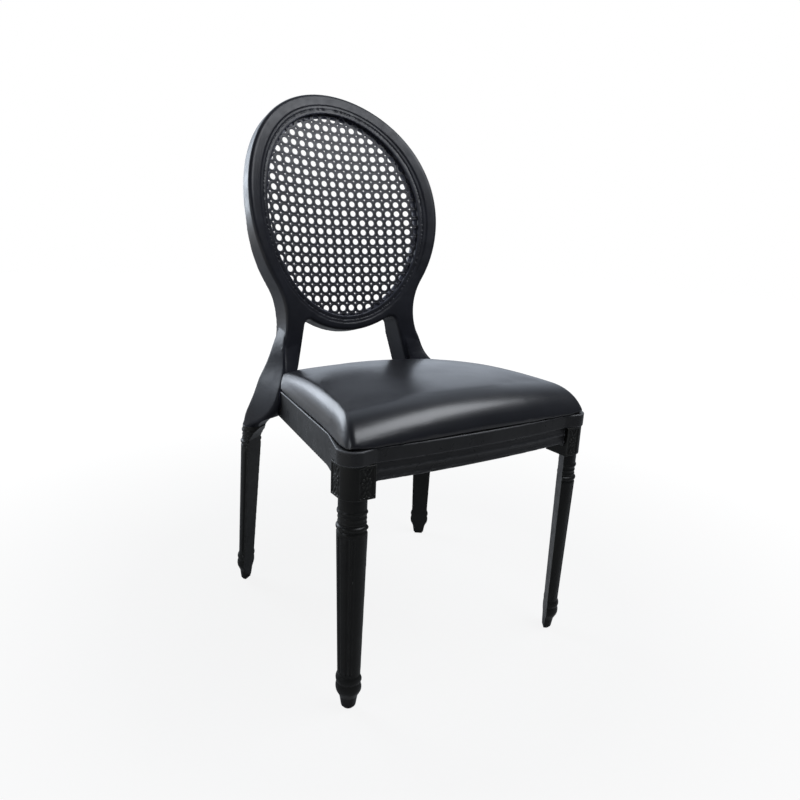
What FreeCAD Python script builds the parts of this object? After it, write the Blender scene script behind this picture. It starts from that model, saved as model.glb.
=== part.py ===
"""Dining chair with an oval cane back, moulded in resin, with a padded seat.

Millimetres. X runs across the chair, Y from front to back, Z up from the floor.
The origin is on the floor, under the middle of the chair's box.
"""
import FreeCAD, Part

import os
from math import acos, atan2, ceil, cos, degrees, pi, radians, sin, sqrt

V = FreeCAD.Vector
UP = V(0, 0, 1)

# Fits and general values
BOX_MIDDLE_Y = 3.1             # the box's middle, before the chair is centred
FIT = 0.2                      # clearance of parts that slide together
RUN = 0.1                      # clearance round a bolt or a threaded insert
SOFT_GAP = 0.4                 # space kept round the pad
OVERRUN = 2.0                  # how far a cutting tool runs past a face

# Back: a saddle surface, hollow across and slightly bowed up its height
BACK_CENTRE_Y = 201.1
BACK_CENTRE_Z = 755.3
BACK_RAKE = 14.6               # degrees
BACK_RADIUS_ACROSS = 535.0
BACK_RADIUS_UP = 1736.0
BACK_FRONT = 12.0              # front face, ahead of the cane surface
BACK_REAR = 23.0               # rear face, behind the cane surface
BACK_DEEP_REAR = 46.0          # rear of the deep edge that runs into the uprights
BACK_DEEP_START = 20.0         # the edge begins to deepen this far below the middle
BACK_DEEP_LEVEL = 16.0         # where its rear lies there, ahead of the back's middle
BACK_DEEP_SLOPE = 0.30
BACK_EDGE_ROUND = 6.5
RING_HALF_WIDTH = 207.7
RING_HALF_HEIGHT = 238.3
CANE_HALF_WIDTH = 168.0
CANE_HALF_HEIGHT = 203.8
CANE_DROP = 5.2                # the cane opening lies this far below the ring's middle
LIP_WIDTH = 7.0                # inner bead round the cane
LIP_LOWER = 2.0                # the bead lies this much below the main band
GROOVE_WIDTH = 2.5
GROOVE_DEPTH = 4.0
STEP_WIDTH = 7.0               # flat step outside the groove
STEP_LOWER = 1.4
NECK_HALF_WIDTH = 146.5
NECK_DROP = 211.0              # the waist lies this far below the ring's middle
FLARE_DROP = 268.0             # the waist's curve ends here
WEB_DROP = 331.0               # where the flat back ends, behind the pad
WEB_FOOT = 168.0               # its outer half width there
WEB_INNER_TOP = 98.0           # half width between the uprights, under the ring
WEB_INNER_FOOT = 131.0
WEB_ROOT_DROP = 190.0
OPENING_CORNER = 13.0          # round of the gap's upper corners

# Cane panel: square net of round holes, moulded
PANEL_THICK = 3.0
PANEL_SEAT = 7.0               # how far the panel runs under the ring's lip
CANE_PITCH_ACROSS = 19.5
CANE_PITCH_UP = 19.1
CANE_ROW_DROP = 1.0            # the middle row lies this far below the ring's middle
CANE_HOLE = 12.2
CANE_MARGIN = 1.5              # plain web kept inside the opening's edge

# Ring that holds the panel from behind, and its screws
RETAINER_THICK = 6.0
RETAINER_OVERLAP = 5.0         # how far it covers the panel inside the opening
RETAINER_SCREWS = 10
DEEP_EDGE_GROW = 13.0          # the deep edge stays this far outside the opening
SCREW_SHANK = 3.0
SCREW_HEAD = 6.4
SCREW_HEAD_HIGH = 2.4
SCREW_BITE = 6.0               # how deep a screw goes into the ring

# Seat frame, in plan
FRONT_COLUMN_X = 215.0         # axis of a front leg
FRONT_COLUMN_Y = -264.0
COLUMN_RADIUS = 25.0           # round outer corner of the leg's block
BAND_PROUD = 2.0               # the top band stands this far out from the block
SIDE_FRONT_X = 234.0           # side face of the rail, at the apron
SIDE_FRONT_Y = -282.0
SIDE_REAR_X = 180.6
SIDE_REAR_Y = 133.0            # rear face of the seat frame
SIDE_BLEND_Y = -195.0          # where the corner runs out into the side rail
APRON_CENTRE_Y = -290.0        # the bowed apron, at its middle
APRON_END_X = 188.0
APRON_END_Y = -282.0
RAIL_THICK = 28.0
RAIL_WALL = 4.5
RAIL_TOP_WALL = 7.0
RAIL_RIB = 4.0
RAIL_RIB_PITCH = 62.0
FRAME_BOTTOM = 380.5
BAND_BOTTOM = 408.5
FRAME_TOP = 431.5
REED_Z = 396.0                 # thin bead along the middle of the apron
REED_HIGH = 3.0
REED_PROUD = 1.5
FOOT_BEAD_HIGH = 4.5
BAND_STEP = 3.0                # the band stands this far out from the apron
KNEE = 9.0                     # rounding between the apron's foot and a block

# Front legs
BLOCK_SIZE = 48.0
BLOCK_BOTTOM = 357.0
PANEL_INSET = 3.5
PANEL_DEPTH = 1.6
ROSETTE_PETALS = 8
PETAL_REACH_SHARE = 0.30
PETAL_SIZE_SHARE = 0.108
PETAL_TIP_SHARE = 0.6
EYE_SIZE_SHARE = 0.14
SPIGOT_SIZE = 30.0
SPIGOT_HIGH = 10.5
FRONT_FLAT_TURN = 36.0         # degrees from X to the flat's outward normal
LEG_FLAT = 3.4                 # the plain flat lies this far past the leg's axis

# Turned shape of a leg, as heights above the floor and radii
TIP_RADIUS = 11.5
TIP_ROUND = 2.0
TOE_Z = 21.0
TOE_RADIUS = 14.6
BALL_LOW_Z = 31.0
BALL_LOW_RADIUS = 19.6
BALL_Z = 39.0
BALL_RADIUS = 20.9
WAIST_Z = 47.5
WAIST_RADIUS = 19.2
ANKLE_Z = 55.0
ANKLE_RADIUS = 20.9
SHAFT_FOOT_Z = 61.0
SHAFT_FOOT_RADIUS = 18.4
SHAFT_TOP_Z = 303.0
SHAFT_TOP_RADIUS = 23.8
COLLAR_Z = 311.0
COLLAR_RADIUS = 24.8
COLLAR_HIGH = 8.0
NECK_RADIUS = 21.6
BEAD_RADIUS = 22.4
BEAD_LOW_Z = 318.5
BEAD_HIGH_Z = 325.5
BEAD_HIGH = 4.0
RING_Z = 335.0
RING_RADIUS = 23.6
RING_HIGH = 7.0
LEG_NECK_RADIUS = 22.0

# Flutes of a leg
FLUTES = 10                    # over the half turn that faces away from the flat
FLUTE_RADIUS_TOP = 2.9
FLUTE_RADIUS_FOOT = 2.2
FLUTE_DEPTH = 1.7
FLUTE_END = 7.0                # plain length left at each end of the shaft

# Rear legs
REAR_TOP_X = 206.5
REAR_TOP_Y = 156.2
REAR_FOOT_X = 221.0
REAR_FOOT_Y = 178.0
REAR_TOP_Z = 345.0
REAR_FLAT_TURN = 54.0          # degrees from X to the flat's outward normal
REAR_SPIGOT_RADIUS = 8.5
REAR_SPIGOT_HIGH = 20.0

# Hips: how the uprights grow into the blocks over the rear legs. Heights are
# shares of HIP_HIGH above the rear leg, half widths shares of HIP_REACH, and
# depths shares of HIP_BACK. Corners: front inner, front outer, rear outer,
# rear inner, and last the corner radius as a share of HIP_ROUND.
HIP_HIGH = 215.0
HIP_REACH = 229.5
HIP_BACK = 179.0
HIP_ROUND = 21.0
HIP_SHARES = [
    (0.000, (0.802, 0.746), (0.996, 0.746), (0.996, 1.000), (0.802, 1.000), 1.00),
    (0.098, (0.776, 0.559), (0.948, 0.514), (0.990, 0.935), (0.776, 0.950), 0.80),
    (0.200, (0.697, 0.470), (0.908, 0.346), (0.964, 0.872), (0.688, 0.900), 0.60),
    (0.312, (0.636, 0.480), (0.865, 0.290), (0.922, 0.840), (0.636, 0.872), 0.45),
    (0.442, (0.601, 0.536), (0.810, 0.350), (0.868, 0.850), (0.601, 0.870), 0.35),
    (0.567, (0.571, 0.648), (0.722, 0.555), (0.794, 0.882), (0.571, 0.890), 0.25),
    (0.721, (0.532, 0.715), (0.686, 0.672), (0.715, 0.925), (0.532, 0.930), 0.20),
    (0.850, (0.502, 0.770), (0.648, 0.750), (0.651, 0.955), (0.502, 0.960), 0.18),
    (0.960, (0.478, 0.800), (0.610, 0.790), (0.612, 0.950), (0.478, 0.955), 0.16),
]

# Fillet between a rear leg and its hip: distances from the leg's axis,
# across the flat, and heights
FILLET_FOOT_Z = 317.0
FILLET_MIDDLE_OUT = 27.0
FILLET_MIDDLE_Z = 353.0
FILLET_END_OUT = 88.0
FILLET_END_Z = 382.5

# Pad
BOARD_THICK = 9.0
BOARD_INSET = 4.0
COVER_THICK = 1.2
PAD_INSET = 1.0                # the pad's side lies inside the frame's edge
PAD_FOOT_INSET = 1.5           # its foot is drawn in this much more
PAD_FOOT_HIGH = 14.0
PAD_CROWN_Z = 490.0            # highest point of the pad
PAD_CROWN_Y = -150.0
PAD_RADIUS_ACROSS = 3500.0
PAD_RADIUS_DEEP = 1650.0
PAD_EDGE_ROUND = 22.0
PAD_CORNER = 27.0
PAD_REAR_CORNER = 26.0
PAD_INNER_CORNER = 4.0         # smallest corner, where the outline is drawn far in
PAD_BOW = 6.0                  # how far the front edge stands ahead of its ends
PAD_BOW_SHARE = 0.4
PAD_BOW_RADIUS = 700.0
HEM_WIDTH = 40.0               # leather turned in under the board

# Fasteners
BOLT_SHANK = 8.0
BOLT_HEAD = 14.0
BOLT_HEAD_HIGH = 4.4
HEAD_BEVEL_SHARE = 0.3
SOCKET_SHARE = 0.36
SOCKET_DEEP_SHARE = 0.55
WASHER_RADIUS = 9.0
WASHER_THICK = 1.6
LEG_BOLT_LONG = 34.0
INSERT_RADIUS = 6.0
INSERT_LONG = 20.0
SIDE_BOLT_YS = (72.0, 93.0)
SIDE_BOLT_Z = 397.0
SIDE_INSERT_LONG = 9.0
SIDE_BOLT_RUNOUT = 1.5
BOSS_RADIUS = 11.0
CROSS_BOLT_SHANK = 6.0
CROSS_BOLT_HEAD = 11.0
CROSS_BOLT_HEAD_HIGH = 4.0
CROSS_SEAT_X = 186.0
CROSS_BOLT_Z = 356.0
CROSS_BOLT_LONG = 30.0
PAD_SCREW_SHANK = 5.0
PAD_SCREW_HEAD = 10.0
PAD_SCREW_HEAD_HIGH = 2.6
PAD_SCREW_SHORT = 1.0           # the screw stops this far below the board's top
TEE_RADIUS = 3.6
TEE_FLANGE = 8.0
TEE_FLANGE_THICK = 1.2
STAPLE_WIDE = 10.0
STAPLE_WIRE = 1.2
STAPLE_LEG = 5.0
STAPLE_PITCH = 62.0
STAPLE_CLEAR = 4.0

# Foot glides
GLIDE_THICK = 3.0
GLIDE_ROUND = 1.2
GLIDE_STEM_OFFSET = 4.5        # away from the leg's flat
GLIDE_STEM_RADIUS = 3.5
GLIDE_STEM_HIGH = 14.0


def prism(face, low, high):
    """The flat face, carried from one level to another along Z."""
    solid = face.copy()
    solid.translate(V(0, 0, low))
    return solid.extrude(V(0, 0, high - low))


def cylinder(radius, high, base, axis=UP):
    return Part.makeCylinder(radius, high, base, axis)


def polygon_face(points):
    corners = [V(*p) if len(p) == 3 else V(p[0], p[1], 0) for p in points]
    return Part.Face(Part.makePolygon(corners + corners[:1]))


def mirrored(shape):
    return shape.mirror(V(0, 0, 0), V(1, 0, 0))


def sided(shape, side):
    """A shape modelled on +X, placed on the side asked for."""
    return shape.copy() if side > 0 else mirrored(shape)


# Back

def to_back(shape):
    """From the back's own axes (across, up, forward) to the chair's."""
    placed = shape.copy()
    turn = FreeCAD.Rotation(V(1, 0, 0), 90 - BACK_RAKE)
    placed.Placement = FreeCAD.Placement(V(0, BACK_CENTRE_Y, BACK_CENTRE_Z), turn)
    return placed


def saddle(across, up):
    """How far the cane surface stands forward at a point of the back."""
    return across ** 2 / (2 * BACK_RADIUS_ACROSS) - up ** 2 / (2 * BACK_RADIUS_UP)


def curved_slab(bend_x, bend_y, reach_x, reach_y, low, high):
    """A body between two copies of the surface z = bend_x * x^2 + bend_y * y^2."""
    rise = bend_x * reach_x ** 2
    fall = bend_y * reach_y ** 2
    poles = []
    for x, rise_share in ((-reach_x, 1), (0, -1), (reach_x, 1)):
        row = []
        for y, fall_share in ((-reach_y, 1), (0, -1), (reach_y, 1)):
            row.append(V(x, y, low + rise * rise_share + fall * fall_share))
        poles.append(row)
    surface = Part.BSplineSurface()
    surface.buildFromPolesMultsKnots(poles, [3, 3], [3, 3], [0, 1], [0, 1],
                                     False, False, 2, 2)
    return surface.toShape().extrude(V(0, 0, high - low))


def slab(low, high):
    """The back's saddle surface, given thickness from one level to another."""
    return curved_slab(1 / (2 * BACK_RADIUS_ACROSS), -1 / (2 * BACK_RADIUS_UP),
                       RING_HALF_WIDTH * 1.2, RING_HALF_HEIGHT * 1.3, low, high)


def back_depth():
    """A level well clear of the saddle, for tools that cut right through."""
    return saddle(RING_HALF_WIDTH * 1.2, 0) + BACK_FRONT + BACK_REAR


def oval(half_width, half_height, drop=0.0):
    ellipse = Part.Ellipse(V(0, half_height - drop, 0), V(half_width, -drop, 0), V(0, -drop, 0))
    return Part.Face(Part.Wire(ellipse.toShape()))


def cane_oval(grow):
    return oval(CANE_HALF_WIDTH + grow, CANE_HALF_HEIGHT + grow, CANE_DROP)


def waist_arc():
    """The hollow curve from the ring, round the waist: its centre, radius and start."""
    ring = oval(RING_HALF_WIDTH, RING_HALF_HEIGHT).OuterWire
    low = NECK_HALF_WIDTH / 20
    high = NECK_HALF_WIDTH * 2
    for _ in range(50):
        radius = (low + high) / 2
        centre = V(NECK_HALF_WIDTH + radius, -NECK_DROP, 0)
        reach, pairs, _info = Part.Vertex(centre).distToShape(ring)
        if reach > radius:
            low = radius
        else:
            high = radius
    return centre, radius, pairs[0][1]


def web_face():
    """One side's web: from the ring, round the waist, down into the upright."""
    centre, radius, start = waist_arc()
    flare = V(centre.x - sqrt(radius ** 2 - (FLARE_DROP - NECK_DROP) ** 2), -FLARE_DROP, 0)
    waist = V(NECK_HALF_WIDTH, -NECK_DROP, 0)
    foot = V(WEB_FOOT, -WEB_DROP, 0)
    inner_foot = V(WEB_INNER_FOOT, -WEB_DROP, 0)
    inner_top = V(WEB_INNER_TOP, -WEB_ROOT_DROP, 0)
    edges = [Part.Arc(start, waist, flare).toShape()]
    corners = [flare, foot, inner_foot, inner_top, start]
    for here, there in zip(corners, corners[1:]):
        edges.append(Part.LineSegment(here, there).toShape())
    return Part.Face(Part.Wire(edges))


def back_outline():
    """Ring and webs as one flat prism, with the gap's upper corners rounded."""
    reach = back_depth()
    ring = prism(oval(RING_HALF_WIDTH, RING_HALF_HEIGHT), -reach, reach)
    web = prism(web_face(), -reach, reach)
    whole = ring.fuse([web, mirrored(web)]).removeSplitter()
    corners = []
    for edge in whole.Edges:
        middle = edge.CenterOfMass
        upright = abs(edge.BoundBox.ZLength - 2 * reach) < OVERRUN
        inside = abs(middle.x) < WEB_INNER_FOOT - OVERRUN and middle.y < -WEB_ROOT_DROP
        if upright and inside and middle.y > -WEB_DROP + OPENING_CORNER:
            corners.append(edge)
    return whole.makeFillet(OPENING_CORNER, corners)


def ring_face(outer, inner):
    return outer.cut(inner).Faces[0]


def moulding_cuts():
    """Grooves and steps in the front of the ring, as (flat face, level) pairs."""
    lip = cane_oval(LIP_WIDTH)
    groove = cane_oval(LIP_WIDTH + GROOVE_WIDTH)
    step = cane_oval(LIP_WIDTH + GROOVE_WIDTH + STEP_WIDTH)
    return [
        (ring_face(lip, cane_oval(0)), BACK_FRONT - LIP_LOWER),
        (ring_face(groove, lip), BACK_FRONT - GROOVE_DEPTH),
        (ring_face(step, groove), BACK_FRONT - STEP_LOWER),
    ]


def panel_seat_level():
    return -PANEL_THICK / 2


def retainer_level():
    """Rear face of the ring that holds the panel."""
    return panel_seat_level() - FIT - RETAINER_THICK


def screw_places():
    """Points round the panel's edge, between the opening and the panel's rim."""
    half_width = CANE_HALF_WIDTH + PANEL_SEAT / 2
    half_height = CANE_HALF_HEIGHT + PANEL_SEAT / 2
    places = []
    for index in range(RETAINER_SCREWS):
        angle = 2 * pi * (index + 0.5) / RETAINER_SCREWS
        places.append((half_width * cos(angle), half_height * sin(angle) - CANE_DROP))
    return places


def screw_hole(across, up, radius, low, high):
    base = V(across, up, saddle(across, up) + low)
    return cylinder(radius, high - low, base)


def deep_edge(outline):
    """Thick outer edge of the lower back, which runs down into the uprights."""
    reach = back_depth()
    edge = outline.common(slab(-BACK_DEEP_REAR, 0))
    long = 2 * WEB_DROP
    lift = BACK_DEEP_SLOPE * long
    slope = [V(0, -BACK_DEEP_START, BACK_DEEP_LEVEL),
             V(0, -BACK_DEEP_START - long, BACK_DEEP_LEVEL - lift),
             V(0, -BACK_DEEP_START - long, BACK_DEEP_LEVEL - lift - long),
             V(0, long, BACK_DEEP_LEVEL - lift - long),
             V(0, long, BACK_DEEP_LEVEL)]
    behind = Part.Face(Part.makePolygon(slope + slope[:1])).extrude(V(2 * long, 0, 0))
    behind.translate(V(-long, 0, 0))
    inside = prism(cane_oval(DEEP_EDGE_GROW), -2 * reach, 2 * reach)
    gap = Part.makeBox(2 * WEB_INNER_TOP, long, 4 * reach, V(-WEB_INNER_TOP, -long, -2 * reach))
    return edge.cut([behind, inside, gap])


def round_front_edge(plate):
    """Round the outer edge of the back's front face."""
    rims = []
    for edge in plate.Edges:
        middle = edge.valueAt((edge.FirstParameter + edge.LastParameter) / 2)
        front = abs(middle.z - saddle(middle.x, middle.y) - BACK_FRONT) < FIT
        if front and middle.y > -WEB_DROP + OVERRUN:
            rims.append(edge)
    return plate.makeFillet(BACK_EDGE_ROUND, rims)


def ring_plate():
    """The flat part of the back: ring, waist and webs."""
    outline = back_outline()
    plate = round_front_edge(outline.common(slab(-BACK_REAR, BACK_FRONT)))
    plate = plate.fuse(deep_edge(outline))
    reach = back_depth()
    tools = [prism(cane_oval(0), -reach, reach)]
    seat = prism(cane_oval(PANEL_SEAT + FIT), -reach, reach)
    tools.append(seat.common(slab(-BACK_REAR - OVERRUN, PANEL_THICK / 2)))
    for face, level in moulding_cuts():
        tools.append(prism(face, -reach, reach).common(slab(level, BACK_FRONT + OVERRUN)))
    for across, up in screw_places():
        top = PANEL_THICK / 2 + SCREW_BITE
        tools.append(screw_hole(across, up, SCREW_SHANK / 2 + RUN, -BACK_REAR, top + RUN))
    for tool in tools:
        plate = plate.cut(tool)
    return to_back(plate)


def cane_panel():
    """Moulded cane: a curved sheet with a net of round holes."""
    rim = cane_oval(PANEL_SEAT)
    columns = ceil(CANE_HALF_WIDTH / CANE_PITCH_ACROSS)
    rows = ceil(CANE_HALF_HEIGHT / CANE_PITCH_UP)
    room_x = CANE_HALF_WIDTH - CANE_HOLE / 2 - CANE_MARGIN
    room_y = CANE_HALF_HEIGHT - CANE_HOLE / 2 - CANE_MARGIN
    wires = [rim.OuterWire]
    for row in range(-rows, rows + 1):
        for column in range(-columns, columns):
            across = (column + 0.5) * CANE_PITCH_ACROSS
            up = row * CANE_PITCH_UP - CANE_ROW_DROP
            inside = (across / room_x) ** 2 + ((up + CANE_DROP) / room_y) ** 2
            if inside < 1:
                circle = Part.Circle(V(across, up, 0), UP, CANE_HOLE / 2)
                wires.append(Part.Wire(circle.toShape()))
    for across, up in screw_places():
        circle = Part.Circle(V(across, up, 0), UP, SCREW_SHANK / 2 + RUN)
        wires.append(Part.Wire(circle.toShape()))
    net = Part.makeFace(wires, "Part::FaceMakerBullseye")
    reach = back_depth()
    sheet = prism(net, -reach, reach)
    return to_back(sheet.common(slab(-PANEL_THICK / 2, PANEL_THICK / 2)))


def retaining_ring():
    """Ring behind the panel's edge, with a seat for each screw's head."""
    face = ring_face(cane_oval(PANEL_SEAT), cane_oval(-RETAINER_OVERLAP))
    reach = back_depth()
    ring = prism(face, -reach, reach).common(slab(retainer_level(), panel_seat_level() - FIT))
    for across, up in screw_places():
        low = retainer_level() - RETAINER_THICK
        ring = ring.cut(screw_hole(across, up, SCREW_SHANK / 2 + RUN, low, BACK_FRONT))
        seat = retainer_level() + SCREW_HEAD_HIGH + RUN
        ring = ring.cut(screw_hole(across, up, SCREW_HEAD / 2 + RUN, low, seat))
    return to_back(ring)


def retaining_screws():
    solids = []
    for across, up in screw_places():
        seat = retainer_level() + SCREW_HEAD_HIGH + RUN
        head = screw_hole(across, up, SCREW_HEAD / 2, seat - SCREW_HEAD_HIGH, seat)
        top = PANEL_THICK / 2 + SCREW_BITE
        shank = screw_hole(across, up, SCREW_SHANK / 2, seat - SCREW_HEAD_HIGH, top)
        solids.append(to_back(head.fuse(shank)))
    return Part.makeCompound(solids)


# Hips and uprights

def corner_arc(before, corner, after, radius):
    """Round one corner of a flat outline: the arc's start, middle and end."""
    back = (before - corner).normalize()
    ahead = (after - corner).normalize()
    half = back.getAngle(ahead) / 2
    setback = radius / (sin(half) / cos(half))
    bisector = (back + ahead).normalize()
    centre = corner + bisector * (radius / sin(half))
    return corner + back * setback, centre - bisector * radius, corner + ahead * setback


def rounded_wire(corners, radii):
    """A closed outline of lines and arcs through the given corners."""
    count = len(corners)
    arcs = []
    for index in range(count):
        before = corners[index - 1]
        after = corners[(index + 1) % count]
        arcs.append(corner_arc(before, corners[index], after, radii[index]))
    edges = []
    for index in range(count):
        start, middle, end = arcs[index]
        edges.append(Part.Arc(start, middle, end).toShape())
        following = arcs[(index + 1) % count][0]
        edges.append(Part.LineSegment(end, following).toShape())
    return Part.Wire(edges)


def hip_section(shares, grow, outward):
    """One level of the hip, moved outwards by a clearance, and its outer side further."""
    height, front_inner, front_outer, rear_outer, rear_inner, round_share = shares
    level = REAR_TOP_Z + height * HIP_HIGH
    moves = ((-1, -1), (1, -1), (1, 1), (-1, 1))
    corners = []
    for (x, y), (dx, dy) in zip((front_inner, front_outer, rear_outer, rear_inner), moves):
        across = x * HIP_REACH + dx * grow + max(dx, 0) * outward
        corners.append(V(across, y * HIP_BACK + dy * grow, level))
    return rounded_wire(corners, [round_share * HIP_ROUND] * 4)


def hip_body(grow=0.0, outward=0.0):
    """Upright and hip of the right-hand side, as one smooth loft."""
    wires = [hip_section(shares, grow, outward) for shares in HIP_SHARES]
    return Part.makeLoft(wires, True, False, False, 5)


def side_slope():
    """Angle of the side rail in plan, in degrees from Y."""
    return degrees(atan2(SIDE_FRONT_X - SIDE_REAR_X, SIDE_REAR_Y - SIDE_FRONT_Y))


def side_x(y):
    """Half width of the seat frame at a depth."""
    share = (y - SIDE_FRONT_Y) / (SIDE_REAR_Y - SIDE_FRONT_Y)
    return SIDE_FRONT_X + share * (SIDE_REAR_X - SIDE_FRONT_X)


def frame_outline(proud, corner_radius):
    """Plan of the seat frame, with its front moved forward by a step."""
    end_y = APRON_END_Y - proud
    centre = V(FRONT_COLUMN_X, FRONT_COLUMN_Y, 0)
    blend = V(side_x(SIDE_BLEND_Y), SIDE_BLEND_Y, 0)
    away = blend - centre
    turn = atan2(away.y, away.x) - acos(corner_radius / away.Length)
    side_touch = centre + V(cos(turn), sin(turn), 0) * corner_radius
    front_touch = centre + V(0, -corner_radius, 0)
    knee = centre + V(cos((turn - pi / 2) / 2), sin((turn - pi / 2) / 2), 0) * corner_radius
    rear = V(SIDE_REAR_X, SIDE_REAR_Y, 0)
    apron_end = V(APRON_END_X, end_y, 0)
    half = [
        Part.Arc(front_touch, knee, side_touch).toShape(),
        Part.LineSegment(side_touch, blend).toShape(),
        Part.LineSegment(blend, rear).toShape(),
        Part.LineSegment(rear, V(-rear.x, rear.y, 0)).toShape(),
    ]
    edges = list(half)
    edges.extend(mirrored(edge) for edge in half[:3])
    for sign in (1, -1):
        start = V(sign * front_touch.x, front_touch.y, 0)
        end = V(sign * apron_end.x, apron_end.y, 0)
        edges.append(Part.LineSegment(start, end).toShape())
    bow = Part.Arc(V(-apron_end.x, end_y, 0), V(0, APRON_CENTRE_Y - proud, 0), apron_end)
    edges.append(bow.toShape())
    return Part.Face(Part.Wire(Part.__sortEdges__(edges)))


# Seat frame

def front_corner():
    return V(FRONT_COLUMN_X, FRONT_COLUMN_Y, 0)


def block_corner_x():
    """Inner side of a front block, which is also its depth behind the apron."""
    return FRONT_COLUMN_X + COLUMN_RADIUS - BLOCK_SIZE


def block_face(grow=0.0):
    """Plan of a front leg's block: square, with its outer corner rounded."""
    right = FRONT_COLUMN_X + COLUMN_RADIUS + grow
    front = FRONT_COLUMN_Y - COLUMN_RADIUS - grow
    left = right - BLOCK_SIZE - 2 * grow
    back = front + BLOCK_SIZE + 2 * grow
    radius = COLUMN_RADIUS + grow
    centre = front_corner()
    knee = centre + V(1, -1, 0).normalize() * radius
    edges = [
        Part.Arc(centre + V(0, -radius, 0), knee, centre + V(radius, 0, 0)).toShape(),
        Part.makePolygon([centre + V(radius, 0, 0), V(right, back, 0), V(left, back, 0),
                          V(left, front, 0), centre + V(0, -radius, 0)]),
    ]
    return Part.Face(Part.Wire(Part.__sortEdges__([e for shape in edges for e in shape.Edges])))


def spigot_centre():
    """Middle of a front block, where its spigot and bolt stand."""
    offset = COLUMN_RADIUS - BLOCK_SIZE / 2
    return V(FRONT_COLUMN_X + offset, FRONT_COLUMN_Y - offset, 0)


def rail_inner(extra):
    """Plan of the seat frame's inside, moved outwards from the rails' inner faces."""
    side = RAIL_THICK - extra
    front = SIDE_FRONT_Y + side
    rear = SIDE_REAR_Y - side
    return [(-side_x(front) + side, front), (side_x(front) - side, front),
            (side_x(rear) - side, rear), (-side_x(rear) + side, rear)]


def channel_face():
    """Plan of the hollow underside of the rails, between their two walls."""
    front = SIDE_FRONT_Y + RAIL_WALL
    rear = SIDE_REAR_Y - RAIL_WALL
    outer = polygon_face([(-side_x(front) + RAIL_WALL, front), (side_x(front) - RAIL_WALL, front),
                          (side_x(rear) - RAIL_WALL, rear), (-side_x(rear) + RAIL_WALL, rear)])
    return outer.cut(polygon_face(rail_inner(RAIL_WALL)))


def rail_ribs():
    """Cross ribs that stiffen the hollow rails."""
    ribs = []
    low = FRAME_BOTTOM
    high = FRAME_TOP
    reach = SIDE_FRONT_X
    count = int((SIDE_REAR_Y - SIDE_FRONT_Y) / RAIL_RIB_PITCH)
    for index in range(1, count + 1):
        y = SIDE_FRONT_Y + index * RAIL_RIB_PITCH
        ribs.append(Part.makeBox(2 * reach, RAIL_RIB, high - low, V(-reach, y, low)))
    count = int(block_corner_x() / RAIL_RIB_PITCH)
    depth = SIDE_REAR_Y - APRON_CENTRE_Y
    for index in range(-count, count + 1):
        x = index * RAIL_RIB_PITCH - RAIL_RIB / 2
        ribs.append(Part.makeBox(RAIL_RIB, depth, high - low, V(x, APRON_CENTRE_Y, low)))
    return ribs


def side_bolt_axis(y):
    """Where a side bolt leaves the rail's outer face, and its outward direction."""
    turn = radians(side_slope())
    return V(side_x(y), y, SIDE_BOLT_Z), V(cos(turn), sin(turn), 0)


def rail_through():
    """Thickness of a side rail along a bolt that goes square through it."""
    return RAIL_THICK * cos(radians(side_slope()))


def pad_screw_places():
    """Middle of the rails' inner halves, under the board."""
    front = SIDE_FRONT_Y + RAIL_THICK / 2
    rear = SIDE_REAR_Y - RAIL_THICK / 2
    middle = (front + rear) / 2
    half = RAIL_RIB_PITCH * 1.5
    places = [(half, front), (half, rear), (side_x(middle) - RAIL_THICK / 2, middle)]
    return places + [(-x, y) for x, y in places]


def apron_knee():
    """Web under the right end of the apron, rounded into the block."""
    corner = V(block_corner_x() - FIT - KNEE, APRON_END_Y, FRAME_BOTTOM - KNEE)
    web = Part.makeBox(KNEE, RAIL_THICK, KNEE, corner)
    hollow = cylinder(KNEE, RAIL_THICK + 2 * OVERRUN, corner - V(0, OVERRUN, 0), V(0, 1, 0))
    return web.cut(hollow)


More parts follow.
